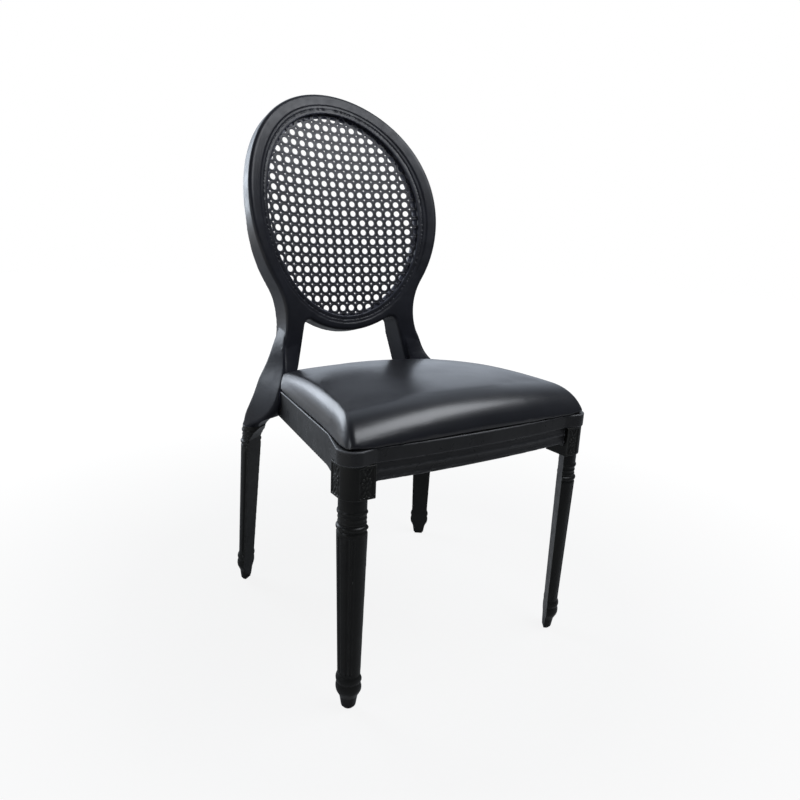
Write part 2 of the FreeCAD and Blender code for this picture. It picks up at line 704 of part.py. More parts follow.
def seat_frame():
    """Moulded perimeter frame: hollow rails, top band and reeded apron."""
    lower = prism(frame_outline(0, COLUMN_RADIUS), FRAME_BOTTOM, BAND_BOTTOM)
    band = prism(frame_outline(BAND_STEP, COLUMN_RADIUS + BAND_PROUD), BAND_BOTTOM, FRAME_TOP)
    beads = [(FRAME_BOTTOM, FOOT_BEAD_HIGH), (REED_Z - REED_HIGH / 2, REED_HIGH)]
    frame = lower.fuse(band)
    for low, high in beads:
        bead = prism(frame_outline(REED_PROUD, COLUMN_RADIUS), low, low + high)
        frame = frame.fuse(bead)
    frame = frame.cut(prism(polygon_face(rail_inner(0)), FRAME_BOTTOM - OVERRUN,
                            FRAME_TOP + OVERRUN))
    channel = prism(channel_face(), FRAME_BOTTOM - OVERRUN, FRAME_TOP - RAIL_TOP_WALL)
    centre = spigot_centre()
    room = block_face(RAIL_WALL)
    keep = []
    for side in (1, -1):
        keep.append(sided(prism(room, FRAME_BOTTOM - OVERRUN, FRAME_TOP), side))
        for y in SIDE_BOLT_YS:
            point, axis = side_bolt_axis(y)
            boss = cylinder(BOSS_RADIUS, RAIL_THICK, point - axis * RAIL_THICK, axis)
            keep.append(sided(boss, side))
    for x, y in pad_screw_places():
        keep.append(cylinder(BOSS_RADIUS, FRAME_TOP - FRAME_BOTTOM, V(x, y, FRAME_BOTTOM)))
    channel = channel.cut(keep + rail_ribs())
    frame = frame.cut(channel).fuse([sided(apron_knee(), side) for side in (1, -1)])
    half = SPIGOT_SIZE / 2 + FIT
    tools = []
    for side in (1, -1):
        pocket = prism(block_face(FIT), FRAME_BOTTOM - OVERRUN, BAND_BOTTOM)
        socket = Part.makeBox(2 * half, 2 * half, SPIGOT_HIGH + FIT + OVERRUN,
                              V(centre.x - half, centre.y - half, BAND_BOTTOM - OVERRUN))
        hole = cylinder(BOLT_SHANK / 2 + RUN, FRAME_TOP - BAND_BOTTOM, centre + V(0, 0, BAND_BOTTOM))
        seat = cylinder(WASHER_RADIUS + FIT, FRAME_TOP - leg_bolt_seat() + OVERRUN,
                        centre + V(0, 0, leg_bolt_seat()))
        for tool in (pocket, socket, hole, seat):
            tools.append(sided(tool, side))
        for y in SIDE_BOLT_YS:
            point, axis = side_bolt_axis(y)
            start = point - axis * (RAIL_THICK + OVERRUN)
            bore = cylinder(BOLT_SHANK / 2 + RUN, RAIL_THICK + 2 * OVERRUN, start, axis)
            tools.append(sided(bore, side))
    for x, y in pad_screw_places():
        low = pad_screw_seat()
        tools.append(cylinder(PAD_SCREW_SHANK / 2 + RUN, FRAME_TOP - FRAME_BOTTOM,
                              V(x, y, FRAME_BOTTOM)))
        tools.append(cylinder(PAD_SCREW_HEAD / 2 + FIT, low - FRAME_BOTTOM + OVERRUN,
                              V(x, y, FRAME_BOTTOM - OVERRUN)))
    return frame.cut(tools)


def leg_bolt_seat():
    """Level of the counterbore that takes a front leg's washer."""
    return FRAME_TOP - WASHER_THICK - BOLT_HEAD_HIGH - SOFT_GAP


def pad_screw_seat():
    """Level where a pad screw's head bears, up inside the rail."""
    return FRAME_TOP - RAIL_TOP_WALL


# Legs

def arc_bead(points, low, high, radius, root):
    """Add a rounded bead to a profile, from one height to another."""
    points.append(("line", root, low))
    points.append(("arc", radius, (low + high) / 2, root, high))


def leg_profile(top):
    """Half section of a turned leg, as a list of edges from tip to top."""
    moves = [("line", TIP_RADIUS - TIP_ROUND, 0), ("line", TIP_RADIUS, TIP_ROUND),
             ("line", TOE_RADIUS, TOE_Z), ("line", BALL_LOW_RADIUS, BALL_LOW_Z),
             ("arc", BALL_RADIUS, BALL_Z, WAIST_RADIUS, WAIST_Z),
             ("arc", ANKLE_RADIUS, ANKLE_Z, SHAFT_FOOT_RADIUS, SHAFT_FOOT_Z),
             ("line", SHAFT_TOP_RADIUS, SHAFT_TOP_Z)]
    arc_bead(moves, COLLAR_Z - COLLAR_HIGH / 2, COLLAR_Z + COLLAR_HIGH / 2, COLLAR_RADIUS,
             NECK_RADIUS)
    for level in (BEAD_LOW_Z, BEAD_HIGH_Z):
        arc_bead(moves, level - BEAD_HIGH / 2, level + BEAD_HIGH / 2, BEAD_RADIUS, NECK_RADIUS)
    arc_bead(moves, RING_Z - RING_HIGH / 2, RING_Z + RING_HIGH / 2, RING_RADIUS, NECK_RADIUS)
    moves.append(("line", LEG_NECK_RADIUS, RING_Z + RING_HIGH / 2))
    moves.append(("line", LEG_NECK_RADIUS, top))
    moves.append(("line", 0, top))
    return moves


def turned_leg(top):
    """The leg as it would come off a lathe, standing on the origin."""
    point = V(0, 0, 0)
    edges = []
    for move in leg_profile(top):
        if move[0] == "arc":
            _kind, crest, crest_z, radius, level = move
            end = V(radius, 0, level)
            edges.append(Part.Arc(point, V(crest, 0, crest_z), end).toShape())
        else:
            end = V(move[1], 0, move[2])
            if point.distanceToPoint(end) > FIT / 100:
                edges.append(Part.LineSegment(point, end).toShape())
        point = end
    edges.append(Part.LineSegment(point, V(0, 0, 0)).toShape())
    return Part.Face(Part.Wire(edges)).revolve(V(0, 0, 0), UP, 360)


def flute_tools(flat_turn):
    """Round-ended grooves that run down the shaft, on the side away from its flat."""
    low = SHAFT_FOOT_Z + FLUTE_END
    high = SHAFT_TOP_Z - FLUTE_END
    slope = (SHAFT_TOP_RADIUS - SHAFT_FOOT_RADIUS) / (SHAFT_TOP_Z - SHAFT_FOOT_Z)
    foot_reach = SHAFT_FOOT_RADIUS + slope * FLUTE_END + FLUTE_RADIUS_FOOT - FLUTE_DEPTH
    top_reach = SHAFT_TOP_RADIUS - slope * FLUTE_END + FLUTE_RADIUS_TOP - FLUTE_DEPTH
    foot = V(foot_reach, 0, low)
    head = V(top_reach, 0, high)
    axis = head - foot
    groove = Part.makeCone(FLUTE_RADIUS_FOOT, FLUTE_RADIUS_TOP, axis.Length, foot, axis)
    groove = groove.fuse([Part.makeSphere(FLUTE_RADIUS_FOOT, foot),
                          Part.makeSphere(FLUTE_RADIUS_TOP, head)])
    tools = []
    for index in range(FLUTES):
        tool = groove.copy()
        tool.rotate(V(0, 0, 0), UP, flat_turn + 90 + index * 180 / (FLUTES - 1))
        tools.append(tool)
    return tools


def panel_tools():
    """Sunk panel of a block's front face, and the flower that fills it."""
    front = FRONT_COLUMN_Y - COLUMN_RADIUS
    wide = BLOCK_SIZE - COLUMN_RADIUS
    low = BLOCK_BOTTOM + PANEL_INSET
    high = BAND_BOTTOM - PANEL_INSET
    left = block_corner_x() + PANEL_INSET
    sunk = Part.makeBox(wide, PANEL_DEPTH + OVERRUN, high - low, V(left, front - OVERRUN, low))
    centre = V(left + wide / 2, front + PANEL_DEPTH, (low + high) / 2)
    reach = wide * PETAL_REACH_SHARE
    petal = wide * PETAL_SIZE_SHARE
    out = V(0, -1, 0)
    flower = [Part.makeCone(wide * EYE_SIZE_SHARE, petal, PANEL_DEPTH, centre, out)]
    for index in range(ROSETTE_PETALS):
        angle = 2 * pi * index / ROSETTE_PETALS
        place = centre + V(cos(angle), 0, sin(angle)) * reach
        flower.append(Part.makeCone(petal, petal * PETAL_TIP_SHARE, PANEL_DEPTH, place, out))
    return sunk, flower


def across_block(shape):
    """The same thing on the block's other outer face."""
    return shape.mirror(spigot_centre(), V(1, 1, 0))


def front_leg():
    """Right front leg: block with carved panels, spigot and turned shaft."""
    centre = front_corner()
    block = prism(block_face(), BLOCK_BOTTOM, BAND_BOTTOM)
    sunk, flower = panel_tools()
    block = block.cut([sunk, across_block(sunk)])
    shaft = turned_leg(BLOCK_BOTTOM + OVERRUN)
    below = cylinder(TIP_RADIUS + OVERRUN, GLIDE_THICK + OVERRUN, V(0, 0, -OVERRUN))
    waste = flat_waste(front_turn(), -OVERRUN, BLOCK_BOTTOM)
    shaft = shaft.cut(flute_tools(front_turn()) + [waste, below])
    shaft = shaft.cut(glide_stem(V(0, 0, 0), front_turn(), RUN))
    shaft.translate(centre)
    middle = spigot_centre()
    half = SPIGOT_SIZE / 2
    spigot = Part.makeBox(SPIGOT_SIZE, SPIGOT_SIZE, SPIGOT_HIGH + OVERRUN,
                          V(middle.x - half, middle.y - half, BAND_BOTTOM - OVERRUN))
    leg = shaft.fuse([block, spigot] + flower + [across_block(petal) for petal in flower])
    top = BAND_BOTTOM + SPIGOT_HIGH
    deep = leg_bolt_seat() - LEG_BOLT_LONG - FIT
    insert = cylinder(INSERT_RADIUS + RUN, INSERT_LONG + OVERRUN,
                      middle + V(0, 0, top - INSERT_LONG))
    bore = cylinder(BOLT_SHANK / 2 + RUN, top - deep, middle + V(0, 0, deep))
    return leg.cut([insert, bore])


def flat_waste(flat_turn, low, high):
    """Everything beyond a leg's plain flat, for a leg standing on the origin."""
    size = 2 * COLLAR_RADIUS
    waste = Part.makeBox(size, 2 * size, high - low, V(LEG_FLAT, -size, low))
    waste.rotate(V(0, 0, 0), UP, flat_turn)
    return waste


def from_flat(flat_turn, distance):
    """A step away from a leg's flat, across the leg."""
    turn = radians(flat_turn)
    return V(-cos(turn), -sin(turn), 0) * distance


def front_turn():
    return 180 - FRONT_FLAT_TURN


def rear_turn():
    return REAR_FLAT_TURN - 180


def rear_axis():
    """Foot and direction of the right rear leg's leaning axis."""
    foot = V(REAR_FOOT_X, REAR_FOOT_Y, 0)
    top = V(REAR_TOP_X, REAR_TOP_Y, REAR_TOP_Z)
    return foot, (top - foot).normalize()


def lean(shape):
    """Stand a leg made on the origin on its foot, along its leaning axis."""
    foot, axis = rear_axis()
    placed = shape.copy()
    placed.Placement = FreeCAD.Placement(foot, FreeCAD.Rotation(UP, axis))
    return placed


def rear_spigot(grow=0.0):
    """Round tongue on a rear leg, and the socket for it in the hip."""
    centre = V(REAR_TOP_X, REAR_TOP_Y, REAR_TOP_Z - OVERRUN)
    return cylinder(REAR_SPIGOT_RADIUS + grow, REAR_SPIGOT_HIGH + grow + OVERRUN, centre)


def cross_bolt_place():
    """Where the bolt through a hip bears, on the hip's inner side."""
    return V(CROSS_SEAT_X, REAR_TOP_Y, CROSS_BOLT_Z)


def cross_shank(grow):
    return cylinder(CROSS_BOLT_SHANK / 2 + grow, CROSS_BOLT_LONG + grow, cross_bolt_place(),
                    V(1, 0, 0))


def fillet_waste(low):
    """Waste beyond a rear leg's flat, under the curve that joins leg and hip."""
    reach = 2 * HIP_REACH
    start = V(LEG_FLAT, -reach, FILLET_FOOT_Z)
    middle = V(FILLET_MIDDLE_OUT, -reach, FILLET_MIDDLE_Z)
    end = V(FILLET_END_OUT, -reach, FILLET_END_Z)
    far = V(reach, -reach, FILLET_END_Z)
    edges = [Part.Arc(start, middle, end).toShape()]
    corners = [end, far, V(reach, -reach, low), V(LEG_FLAT, -reach, low), start]
    for here, there in zip(corners, corners[1:]):
        edges.append(Part.LineSegment(here, there).toShape())
    waste = Part.Face(Part.Wire(edges)).extrude(V(0, 2 * reach, 0))
    waste.rotate(V(0, 0, 0), UP, rear_turn())
    return waste


def rear_leg():
    """Right rear leg: the same turning on a leaning axis, cut level at both ends."""
    leg = turned_leg(REAR_TOP_Z + COLUMN_RADIUS)
    leg = leg.cut(flute_tools(rear_turn()) + [fillet_waste(-OVERRUN)])
    leg = lean(leg)
    size = 2 * HIP_REACH
    above = Part.makeBox(size, size, 2 * COLUMN_RADIUS, V(0, 0, REAR_TOP_Z))
    below = Part.makeBox(size, size, 2 * GLIDE_THICK, V(0, 0, -GLIDE_THICK))
    leg = leg.cut([above, below])
    foot = rear_axis()[0]
    return leg.fuse(rear_spigot()).cut([cross_shank(RUN), glide_stem(foot, rear_turn(), RUN)])


def glide_stem(foot, flat_turn, grow=0.0):
    """Stem of a glide, set back from the leg's flat."""
    base = foot + from_flat(flat_turn, GLIDE_STEM_OFFSET)
    return cylinder(GLIDE_STEM_RADIUS + grow, GLIDE_STEM_HIGH + grow, base)


def glide(foot, flat_turn):
    """Foot glide: a half-round pad like the leg's tip, with a stem."""
    pad = cylinder(TIP_RADIUS - TIP_ROUND, GLIDE_THICK, V(0, 0, 0))
    pad = pad.makeFillet(GLIDE_ROUND, [min(pad.Edges, key=lambda e: e.CenterOfMass.z)])
    pad = pad.cut(flat_waste(flat_turn, -OVERRUN, GLIDE_THICK + OVERRUN))
    pad.translate(foot)
    return pad.fuse(glide_stem(foot, flat_turn))


# Back frame

def frame_room():
    """Space that the seat frame's rear corners take out of the hips."""
    front = APRON_CENTRE_Y
    rear = SIDE_REAR_Y + FIT
    plan = polygon_face([(-side_x(front) - FIT, front), (side_x(front) + FIT, front),
                         (side_x(rear) + FIT, rear), (-side_x(rear) - FIT, rear)])
    return prism(plan, FRAME_BOTTOM - FIT, FRAME_TOP + FIT)


def side_insert(y, grow):
    point, axis = side_bolt_axis(y)
    return cylinder(INSERT_RADIUS + grow, SIDE_INSERT_LONG + grow, point + axis * FIT, axis)


def hip():
    """Right hip and upright, with its socket, seats and bores."""
    waste = fillet_waste(REAR_TOP_Z - COLUMN_RADIUS)
    waste.translate(V(REAR_TOP_X, REAR_TOP_Y, 0))
    body = hip_body().cut([waste, frame_room()])
    place = cross_bolt_place()
    head = cylinder(CROSS_BOLT_HEAD / 2 + FIT, HIP_REACH, place - V(HIP_REACH, 0, 0), V(1, 0, 0))
    tools = [rear_spigot(FIT), cross_shank(RUN), head]
    tools.extend(side_insert(y, RUN) for y in SIDE_BOLT_YS)
    for y in SIDE_BOLT_YS:
        point, axis = side_bolt_axis(y)
        long = SIDE_INSERT_LONG + SIDE_BOLT_RUNOUT
        tools.append(cylinder(BOLT_SHANK / 2 + RUN, long, point, axis))
    return body.cut(tools)


def back_frame():
    right = hip()
    return ring_plate().fuse([right, mirrored(right)])


# Pad

def pad_outline(inset, level):
    """Plan of the pad: tapered, bowed in front, every corner rounded."""
    front_y = APRON_CENTRE_Y - BAND_STEP + PAD_INSET + inset
    corner_y = front_y + PAD_BOW
    corner_x = FRONT_COLUMN_X + COLUMN_RADIUS + BAND_PROUD - PAD_INSET - inset
    rear_y = SIDE_REAR_Y - PAD_INSET - inset
    rear_x = SIDE_REAR_X - PAD_INSET - inset
    blend_x = side_x(SIDE_BLEND_Y) - PAD_INSET - inset
    front_round = max(PAD_CORNER - inset, PAD_INNER_CORNER)
    rear_round = max(PAD_REAR_CORNER - inset, PAD_INNER_CORNER)
    right = [(corner_x * PAD_BOW_SHARE, front_y, PAD_BOW_RADIUS),
             (corner_x, corner_y, front_round),
             (blend_x, SIDE_BLEND_Y, PAD_BOW_RADIUS),
             (rear_x, rear_y, rear_round)]
    corners = right + [(-x, y, radius) for x, y, radius in reversed(right)]
    points = [V(x, y, level) for x, y, _radius in corners]
    return rounded_wire(points, [radius for _x, _y, radius in corners])


def crown(level):
    """The pad's crowned top, as a body that fills everything below it."""
    reach_x = SIDE_FRONT_X * 1.5
    reach_y = (SIDE_REAR_Y - APRON_CENTRE_Y) * 1.5
    body = curved_slab(-1 / (2 * PAD_RADIUS_ACROSS), -1 / (2 * PAD_RADIUS_DEEP),
                       reach_x, reach_y, -PAD_CROWN_Z, 0)
    body.translate(V(0, PAD_CROWN_Y, level))
    return body


def pad_shape(inset, bottom):
    """The upholstered form, drawn in all round by an inset, from a level up."""
    full = FRAME_TOP + PAD_FOOT_HIGH
    foot = Part.makeLoft([pad_outline(inset + PAD_FOOT_INSET, FRAME_TOP),
                          pad_outline(inset, full)], True, True)
    sides = Part.Face(pad_outline(inset, full)).extrude(V(0, 0, PAD_CROWN_Z - full))
    body = sides.common(crown(PAD_CROWN_Z - inset))
    rim = [edge for edge in body.Edges if edge.CenterOfMass.z > full + PAD_FOOT_HIGH / 2
           and edge.BoundBox.ZLength < PAD_EDGE_ROUND]
    body = body.makeFillet(PAD_EDGE_ROUND - inset, rim)
    body = body.fuse(foot).removeSplitter()
    hip_room = hip_body(SOFT_GAP + inset, RAIL_THICK)
    body = body.cut([hip_room, mirrored(hip_room)])
    if bottom > FRAME_TOP:
        size = 4 * SIDE_FRONT_X
        body = body.cut(Part.makeBox(size, size, bottom, V(-size / 2, -size / 2, 0)))
    return body


def board_bottom():
    return FRAME_TOP + COVER_THICK


def board_top():
    return board_bottom() + BOARD_THICK


def seat_cover():
    """Leather skin of the pad, turned in under the board."""
    skin = pad_shape(0, FRAME_TOP)
    skin = skin.cut(pad_shape(COVER_THICK, board_bottom()))
    open_middle = Part.Face(pad_outline(HEM_WIDTH, FRAME_TOP - OVERRUN))
    skin = skin.cut(open_middle.extrude(V(0, 0, COVER_THICK + 2 * OVERRUN)))
    holes = [cylinder(TEE_RADIUS, 2 * OVERRUN + COVER_THICK, V(x, y, FRAME_TOP - OVERRUN))
             for x, y in pad_screw_places()]
    return skin.cut(holes + [cover_staples()])


def seat_foam():
    """Foam block between the board and the leather."""
    foam = pad_shape(COVER_THICK + SOFT_GAP, board_top() + SOFT_GAP)
    pockets = [cylinder(TEE_FLANGE + SOFT_GAP, TEE_FLANGE_THICK + SOFT_GAP + OVERRUN,
                        V(x, y, board_top() - OVERRUN)) for x, y in pad_screw_places()]
    return foam.cut(pockets)


def seat_board():
    """Plywood board under the foam, drilled for the threaded sockets."""
    plan = Part.Face(pad_outline(BOARD_INSET, board_bottom()))
    board = plan.extrude(V(0, 0, BOARD_THICK))
    hip_room = hip_body(SOFT_GAP + COVER_THICK, RAIL_THICK)
    holes = [cylinder(TEE_RADIUS + RUN, BOARD_THICK, V(x, y, board_bottom()))
             for x, y in pad_screw_places()]
    return board.cut([hip_room, mirrored(hip_room), cover_staples()] + holes)


def staple(x, y, turn):
    """Wire staple through the turned-in leather, into the board."""
    half = STAPLE_WIDE / 2
    wire = STAPLE_WIRE
    high = COVER_THICK + STAPLE_LEG
    crown_bar = Part.makeBox(STAPLE_WIDE, wire, wire, V(-half, -wire / 2, -wire))
    legs = [Part.makeBox(wire, wire, high + wire, V(start, -wire / 2, -wire))
            for start in (-half, half - wire)]
    whole = crown_bar.fuse(legs)
    whole.rotate(V(0, 0, 0), UP, turn)
    whole.translate(V(x, y, FRAME_TOP))
    return whole


def staple_places():
    """Middle and turn of each staple, just inside the rails and clear of the hips."""
    inset = RAIL_THICK + STAPLE_CLEAR
    front = SIDE_FRONT_Y + inset
    rear = SIDE_REAR_Y - inset
    places = []
    for y in (front, rear):
        half = side_x(y) - inset - STAPLE_WIDE
        count = int(2 * half / STAPLE_PITCH)
        places.extend((-half + index * 2 * half / count, y, 0) for index in range(count + 1))
    count = int((rear - front) / STAPLE_PITCH)
    for index in range(1, count):
        y = front + index * (rear - front) / count
        x = side_x(y) - inset
        places.append((x, y, 90 + side_slope()))
        places.append((-x, y, 90 - side_slope()))
    return places


def cover_staples():
    hip_room = hip_body(STAPLE_WIDE)
    pieces = []
    for x, y, turn in staple_places():
        if not hip_room.isInside(V(abs(x), y, FRAME_TOP), FIT, True):
            pieces.append(staple(x, y, turn))
    return Part.makeCompound(pieces)


# Fasteners

def washer(base, axis=UP):
    ring = cylinder(WASHER_RADIUS, WASHER_THICK, base, axis)
    return ring.cut(cylinder(BOLT_SHANK / 2 + RUN, WASHER_THICK, base, axis))


def socket_bolt(seat, axis, shank, head, head_high, long):
    """Bolt with a round head and hexagon socket: seat of the head, and its axis."""
    body = cylinder(head / 2, head_high, seat - axis * head_high, axis)
    round_edge = max(body.Edges, key=lambda e: (seat - e.CenterOfMass).dot(axis))
    body = body.makeChamfer(head_high * HEAD_BEVEL_SHARE, [round_edge])
    body = body.fuse(cylinder(shank / 2, long, seat, axis))
    across = shank * SOCKET_SHARE
    corners = [V(across * cos(index * pi / 3), across * sin(index * pi / 3), 0)
               for index in range(6)]
    key = Part.Face(Part.makePolygon(corners + corners[:1]))
    key = key.extrude(V(0, 0, head_high * SOCKET_DEEP_SHARE))
    key.Placement = FreeCAD.Placement(seat - axis * head_high, FreeCAD.Rotation(UP, axis))
    return body.cut(key)


def leg_bolts():
    seat = spigot_centre() + V(0, 0, leg_bolt_seat() + WASHER_THICK)
    bolt = socket_bolt(seat, V(0, 0, -1), BOLT_SHANK, BOLT_HEAD, BOLT_HEAD_HIGH, LEG_BOLT_LONG)
    return Part.makeCompound([bolt, mirrored(bolt)])


def leg_washers():
    ring = washer(spigot_centre() + V(0, 0, leg_bolt_seat()))
    return Part.makeCompound([ring, mirrored(ring)])


def bored(cylinder_shape, bore):
    return cylinder_shape.cut(bore)


def leg_inserts():
    """Brass inserts in the front legs' spigots."""
    base = spigot_centre() + V(0, 0, BAND_BOTTOM + SPIGOT_HIGH - INSERT_LONG)
    body = cylinder(INSERT_RADIUS, INSERT_LONG, base)
    body = bored(body, cylinder(BOLT_SHANK / 2 + RUN, INSERT_LONG, base))
    return Part.makeCompound([body, mirrored(body)])


def both_sides(make):
    """A compound of one solid per side bolt, on both sides of the chair."""
    solids = [make(y) for y in SIDE_BOLT_YS]
    return Part.makeCompound(solids + [mirrored(solid) for solid in solids])


def side_bolt(y):
    point, axis = side_bolt_axis(y)
    seat = point - axis * (rail_through() + WASHER_THICK)
    long = rail_through() + WASHER_THICK + SIDE_INSERT_LONG
    return socket_bolt(seat, axis, BOLT_SHANK, BOLT_HEAD, BOLT_HEAD_HIGH, long)


def side_washer(y):
    point, axis = side_bolt_axis(y)
    return washer(point - axis * (rail_through() + WASHER_THICK), axis)


def side_socket(y):
    point, axis = side_bolt_axis(y)
    bore = cylinder(BOLT_SHANK / 2 + RUN, RAIL_THICK, point, axis)
    return bored(side_insert(y, 0), bore)


def cross_bolts():
    """Bolts that pin the rear legs' spigots in the hips."""
    bolt = socket_bolt(cross_bolt_place(), V(1, 0, 0), CROSS_BOLT_SHANK, CROSS_BOLT_HEAD,
                       CROSS_BOLT_HEAD_HIGH, CROSS_BOLT_LONG)
    return Part.makeCompound([bolt, mirrored(bolt)])


def pad_screws():
    """Screws up through the rails into the board's threaded sockets."""
    solids = []
    long = board_top() - PAD_SCREW_SHORT - pad_screw_seat()
    for x, y in pad_screw_places():
        solids.append(socket_bolt(V(x, y, pad_screw_seat()), UP, PAD_SCREW_SHANK,
                                  PAD_SCREW_HEAD, PAD_SCREW_HEAD_HIGH, long))
    return Part.makeCompound(solids)


def tee_nuts():
    """Flanged threaded sockets in the board."""
    solids = []
    for x, y in pad_screw_places():
        base = V(x, y, board_bottom())
        barrel = cylinder(TEE_RADIUS, BOARD_THICK, base)
        flange = cylinder(TEE_FLANGE, TEE_FLANGE_THICK, base + V(0, 0, BOARD_THICK))
        bore = cylinder(PAD_SCREW_SHANK / 2 + RUN, BOARD_THICK + 2 * OVERRUN, base)
        solids.append(barrel.fuse(flange).cut(bore))
    return Part.makeCompound(solids)


def side_nodes():
    """Nodes that come once for each side, with their names."""
    leg = front_leg()
    rear = rear_leg()
    glides = (("front", glide(front_corner(), front_turn())),
              ("rear", glide(rear_axis()[0], rear_turn())))
    for side, name in ((1, "right"), (-1, "left")):
        yield "front_leg_" + name, sided(leg, side)
        yield "rear_leg_" + name, sided(rear, side)
        for place, pad in glides:
            yield "foot_glide_" + place + "_" + name, sided(pad, side)


def nodes():
    yield "back_frame", back_frame()
    yield "cane_panel", cane_panel()
    yield "cane_retaining_ring", retaining_ring()
    yield "retaining_ring_screws", retaining_screws()
    yield "seat_frame", seat_frame()
    yield from side_nodes()
    yield "front_leg_bolts", leg_bolts()
    yield "front_leg_washers", leg_washers()
    yield "front_leg_inserts", leg_inserts()
    yield "rear_leg_cross_bolts", cross_bolts()
    yield "back_bolts", both_sides(side_bolt)
    yield "back_bolt_washers", both_sides(side_washer)
    yield "back_inserts", both_sides(side_socket)
    yield "seat_board", seat_board()
    yield "seat_foam", seat_foam()
    yield "seat_cover", seat_cover()
    yield "cover_staples", cover_staples()
    yield "pad_screws", pad_screws()
    yield "pad_tee_nuts", tee_nuts()


def main():
    os.makedirs("parts", exist_ok=True)
    for name, shape in nodes():
        shape.translate(V(0, -BOX_MIDDLE_Y, 0))
        shape.exportStep("parts/" + name + ".step")
        print(name, len(shape.Solids), shape.isValid())


main()
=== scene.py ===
"""Looks of the oval-back dining chair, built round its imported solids. Metres."""
import math

import bmesh
import bpy
import numpy as np
from mathutils import Matrix, Vector
from mathutils.kdtree import KDTree


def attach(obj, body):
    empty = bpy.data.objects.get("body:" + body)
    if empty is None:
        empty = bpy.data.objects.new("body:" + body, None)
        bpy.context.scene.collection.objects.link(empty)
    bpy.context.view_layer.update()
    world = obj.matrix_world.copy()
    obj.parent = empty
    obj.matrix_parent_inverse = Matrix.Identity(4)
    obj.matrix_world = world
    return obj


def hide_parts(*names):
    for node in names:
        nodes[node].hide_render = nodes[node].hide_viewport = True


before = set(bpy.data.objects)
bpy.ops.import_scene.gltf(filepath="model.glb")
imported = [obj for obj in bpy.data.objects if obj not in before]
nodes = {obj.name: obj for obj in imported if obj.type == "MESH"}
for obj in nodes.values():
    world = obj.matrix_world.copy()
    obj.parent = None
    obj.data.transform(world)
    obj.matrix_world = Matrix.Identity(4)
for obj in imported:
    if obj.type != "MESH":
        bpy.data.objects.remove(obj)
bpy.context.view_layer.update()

# Points closer than this are one, and nothing is divided by less
TINY = 1e-6

# The back's own surface, as the solids have it
BACK_Y = 0.198
BACK_Z = 0.7553
BACK_RAKE = math.radians(14.6)
RADIUS_ACROSS = 0.535
RADIUS_UP = 1.736
CANE_HALF_WIDTH = 0.168
CANE_HALF_HEIGHT = 0.2038
CANE_DROP = 0.0052

# Moulded cane
PITCH_ACROSS = 0.0195
PITCH_UP = 0.0191
ROW_DROP = 0.001
HOLE_RADIUS = 0.0058
DIAMOND = 0.0016               # from a cell's corner to the diamond's point
SEAM_SHARE = 0.3               # how deep the seam between two strands is
SHEET_HALF = 0.0015
STRAND_HALF = 0.0012
PANEL_EDGE = 0.0068            # the panel reaches this far behind the ring
NET_RINGS = 5                  # rows of faces between a hole and its cell's edge
SHARES_BESIDE = (0.0, 0.34, 0.67, 1.0)     # where the lines out from a hole lie, as
SHARES_ABOVE = (0.33, 0.66)                # shares of the angle up to a diamond and past it
NET_WELD = 2e-5
PLUG_SIDES = 240
PLUG_HALF = 0.01

# Mouldings: size of the cells that their skins are made of
FRAME_CELL = 0.0013
FRONT_LEG_CELL = 0.0008
REAR_LEG_CELL = 0.0009

# Front legs
FRONT_X = 0.215
FRONT_Y = -0.2671
BLOCK = 0.048
COLUMN = 0.025
BLOCK_LOW = 0.357
BLOCK_TOP = 0.4085
PANEL_INSET = 0.0035
PANEL_DEEP = 0.0016

# Carved flower of a block: half sizes, and distances from its middle
CARVING_HALF = 0.0017
PETALS = 8
PETAL_OUT = 0.0062
PETAL_HALF = (0.0037, CARVING_HALF, 0.0019)
EYE_HALF = (0.0026, CARVING_HALF * 1.25, 0.0026)
LEAF_ACROSS = 0.0048
LEAF_UP = 0.0165
LEAF_TURN = math.radians(58)
LEAF_HALF = (0.0062, CARVING_HALF, 0.0022)
BUD_UP = 0.0205
BUD_HALF = (0.0020, CARVING_HALF, 0.0020)
BALL_AROUND = 20
BALL_RINGS = 12

# Pad: its plan, its crown, and the roll of its edge
PAD_FRONT_Y = -0.2951
PAD_BOW = 0.006                # how far the front edge stands ahead of its ends
PAD_BOW_SHARE = 0.4            # the middle part of the front edge that is straight
PAD_CORNER_X = 0.241
PAD_BLEND_X = 0.2218           # half width where the corner runs out into the side
PAD_BLEND_Y = -0.1981
PAD_REAR_X = 0.1796
PAD_REAR_Y = 0.1289
CROWN_Z = 0.4899
CROWN_Y = -0.1531
CROWN_ACROSS = 1.92            # radii of the crown
CROWN_DEEP = 1.283
PAD_CORNER = 0.027             # round of the solid's corners, from above
CORNER_POWER = 3.9             # how square the cover draws them
CORNER_REACH = 1.2             # how far out they are drawn, as a share of the round
CORNER_LEAST = 0.5             # stands in for places away from a corner
ROLL_SIDE = 0.020              # how far in from a side its roll reaches
ROLL_FRONT = 0.0637
ROLL_HIGH = 0.0434
ROLL_POWER = 2.85              # how squarely two rolls meet at a corner

# Pad: its foot, where the cover meets the seat frame
FOOT_OUT = 0.0008              # how far the foot comes out
FOOT_TIGHT = 0.436             # all of it below this height
FOOT_FREE = 0.450              # and nothing above this one
FOOT_SKIN = 0.005              # only points this near the edge come out
BOARD_INSIDE = 0.0035          # how far inside the pad's edge the board ends
BOARD_COVERED = 0.4442         # behind the front, the cover stays above the board
BOARD_FADE = 0.03              # length over which that starts
FOAM_FOOT = 0.4430             # below this height the filling takes the board's place too
FILL_FOOT = 0.4320

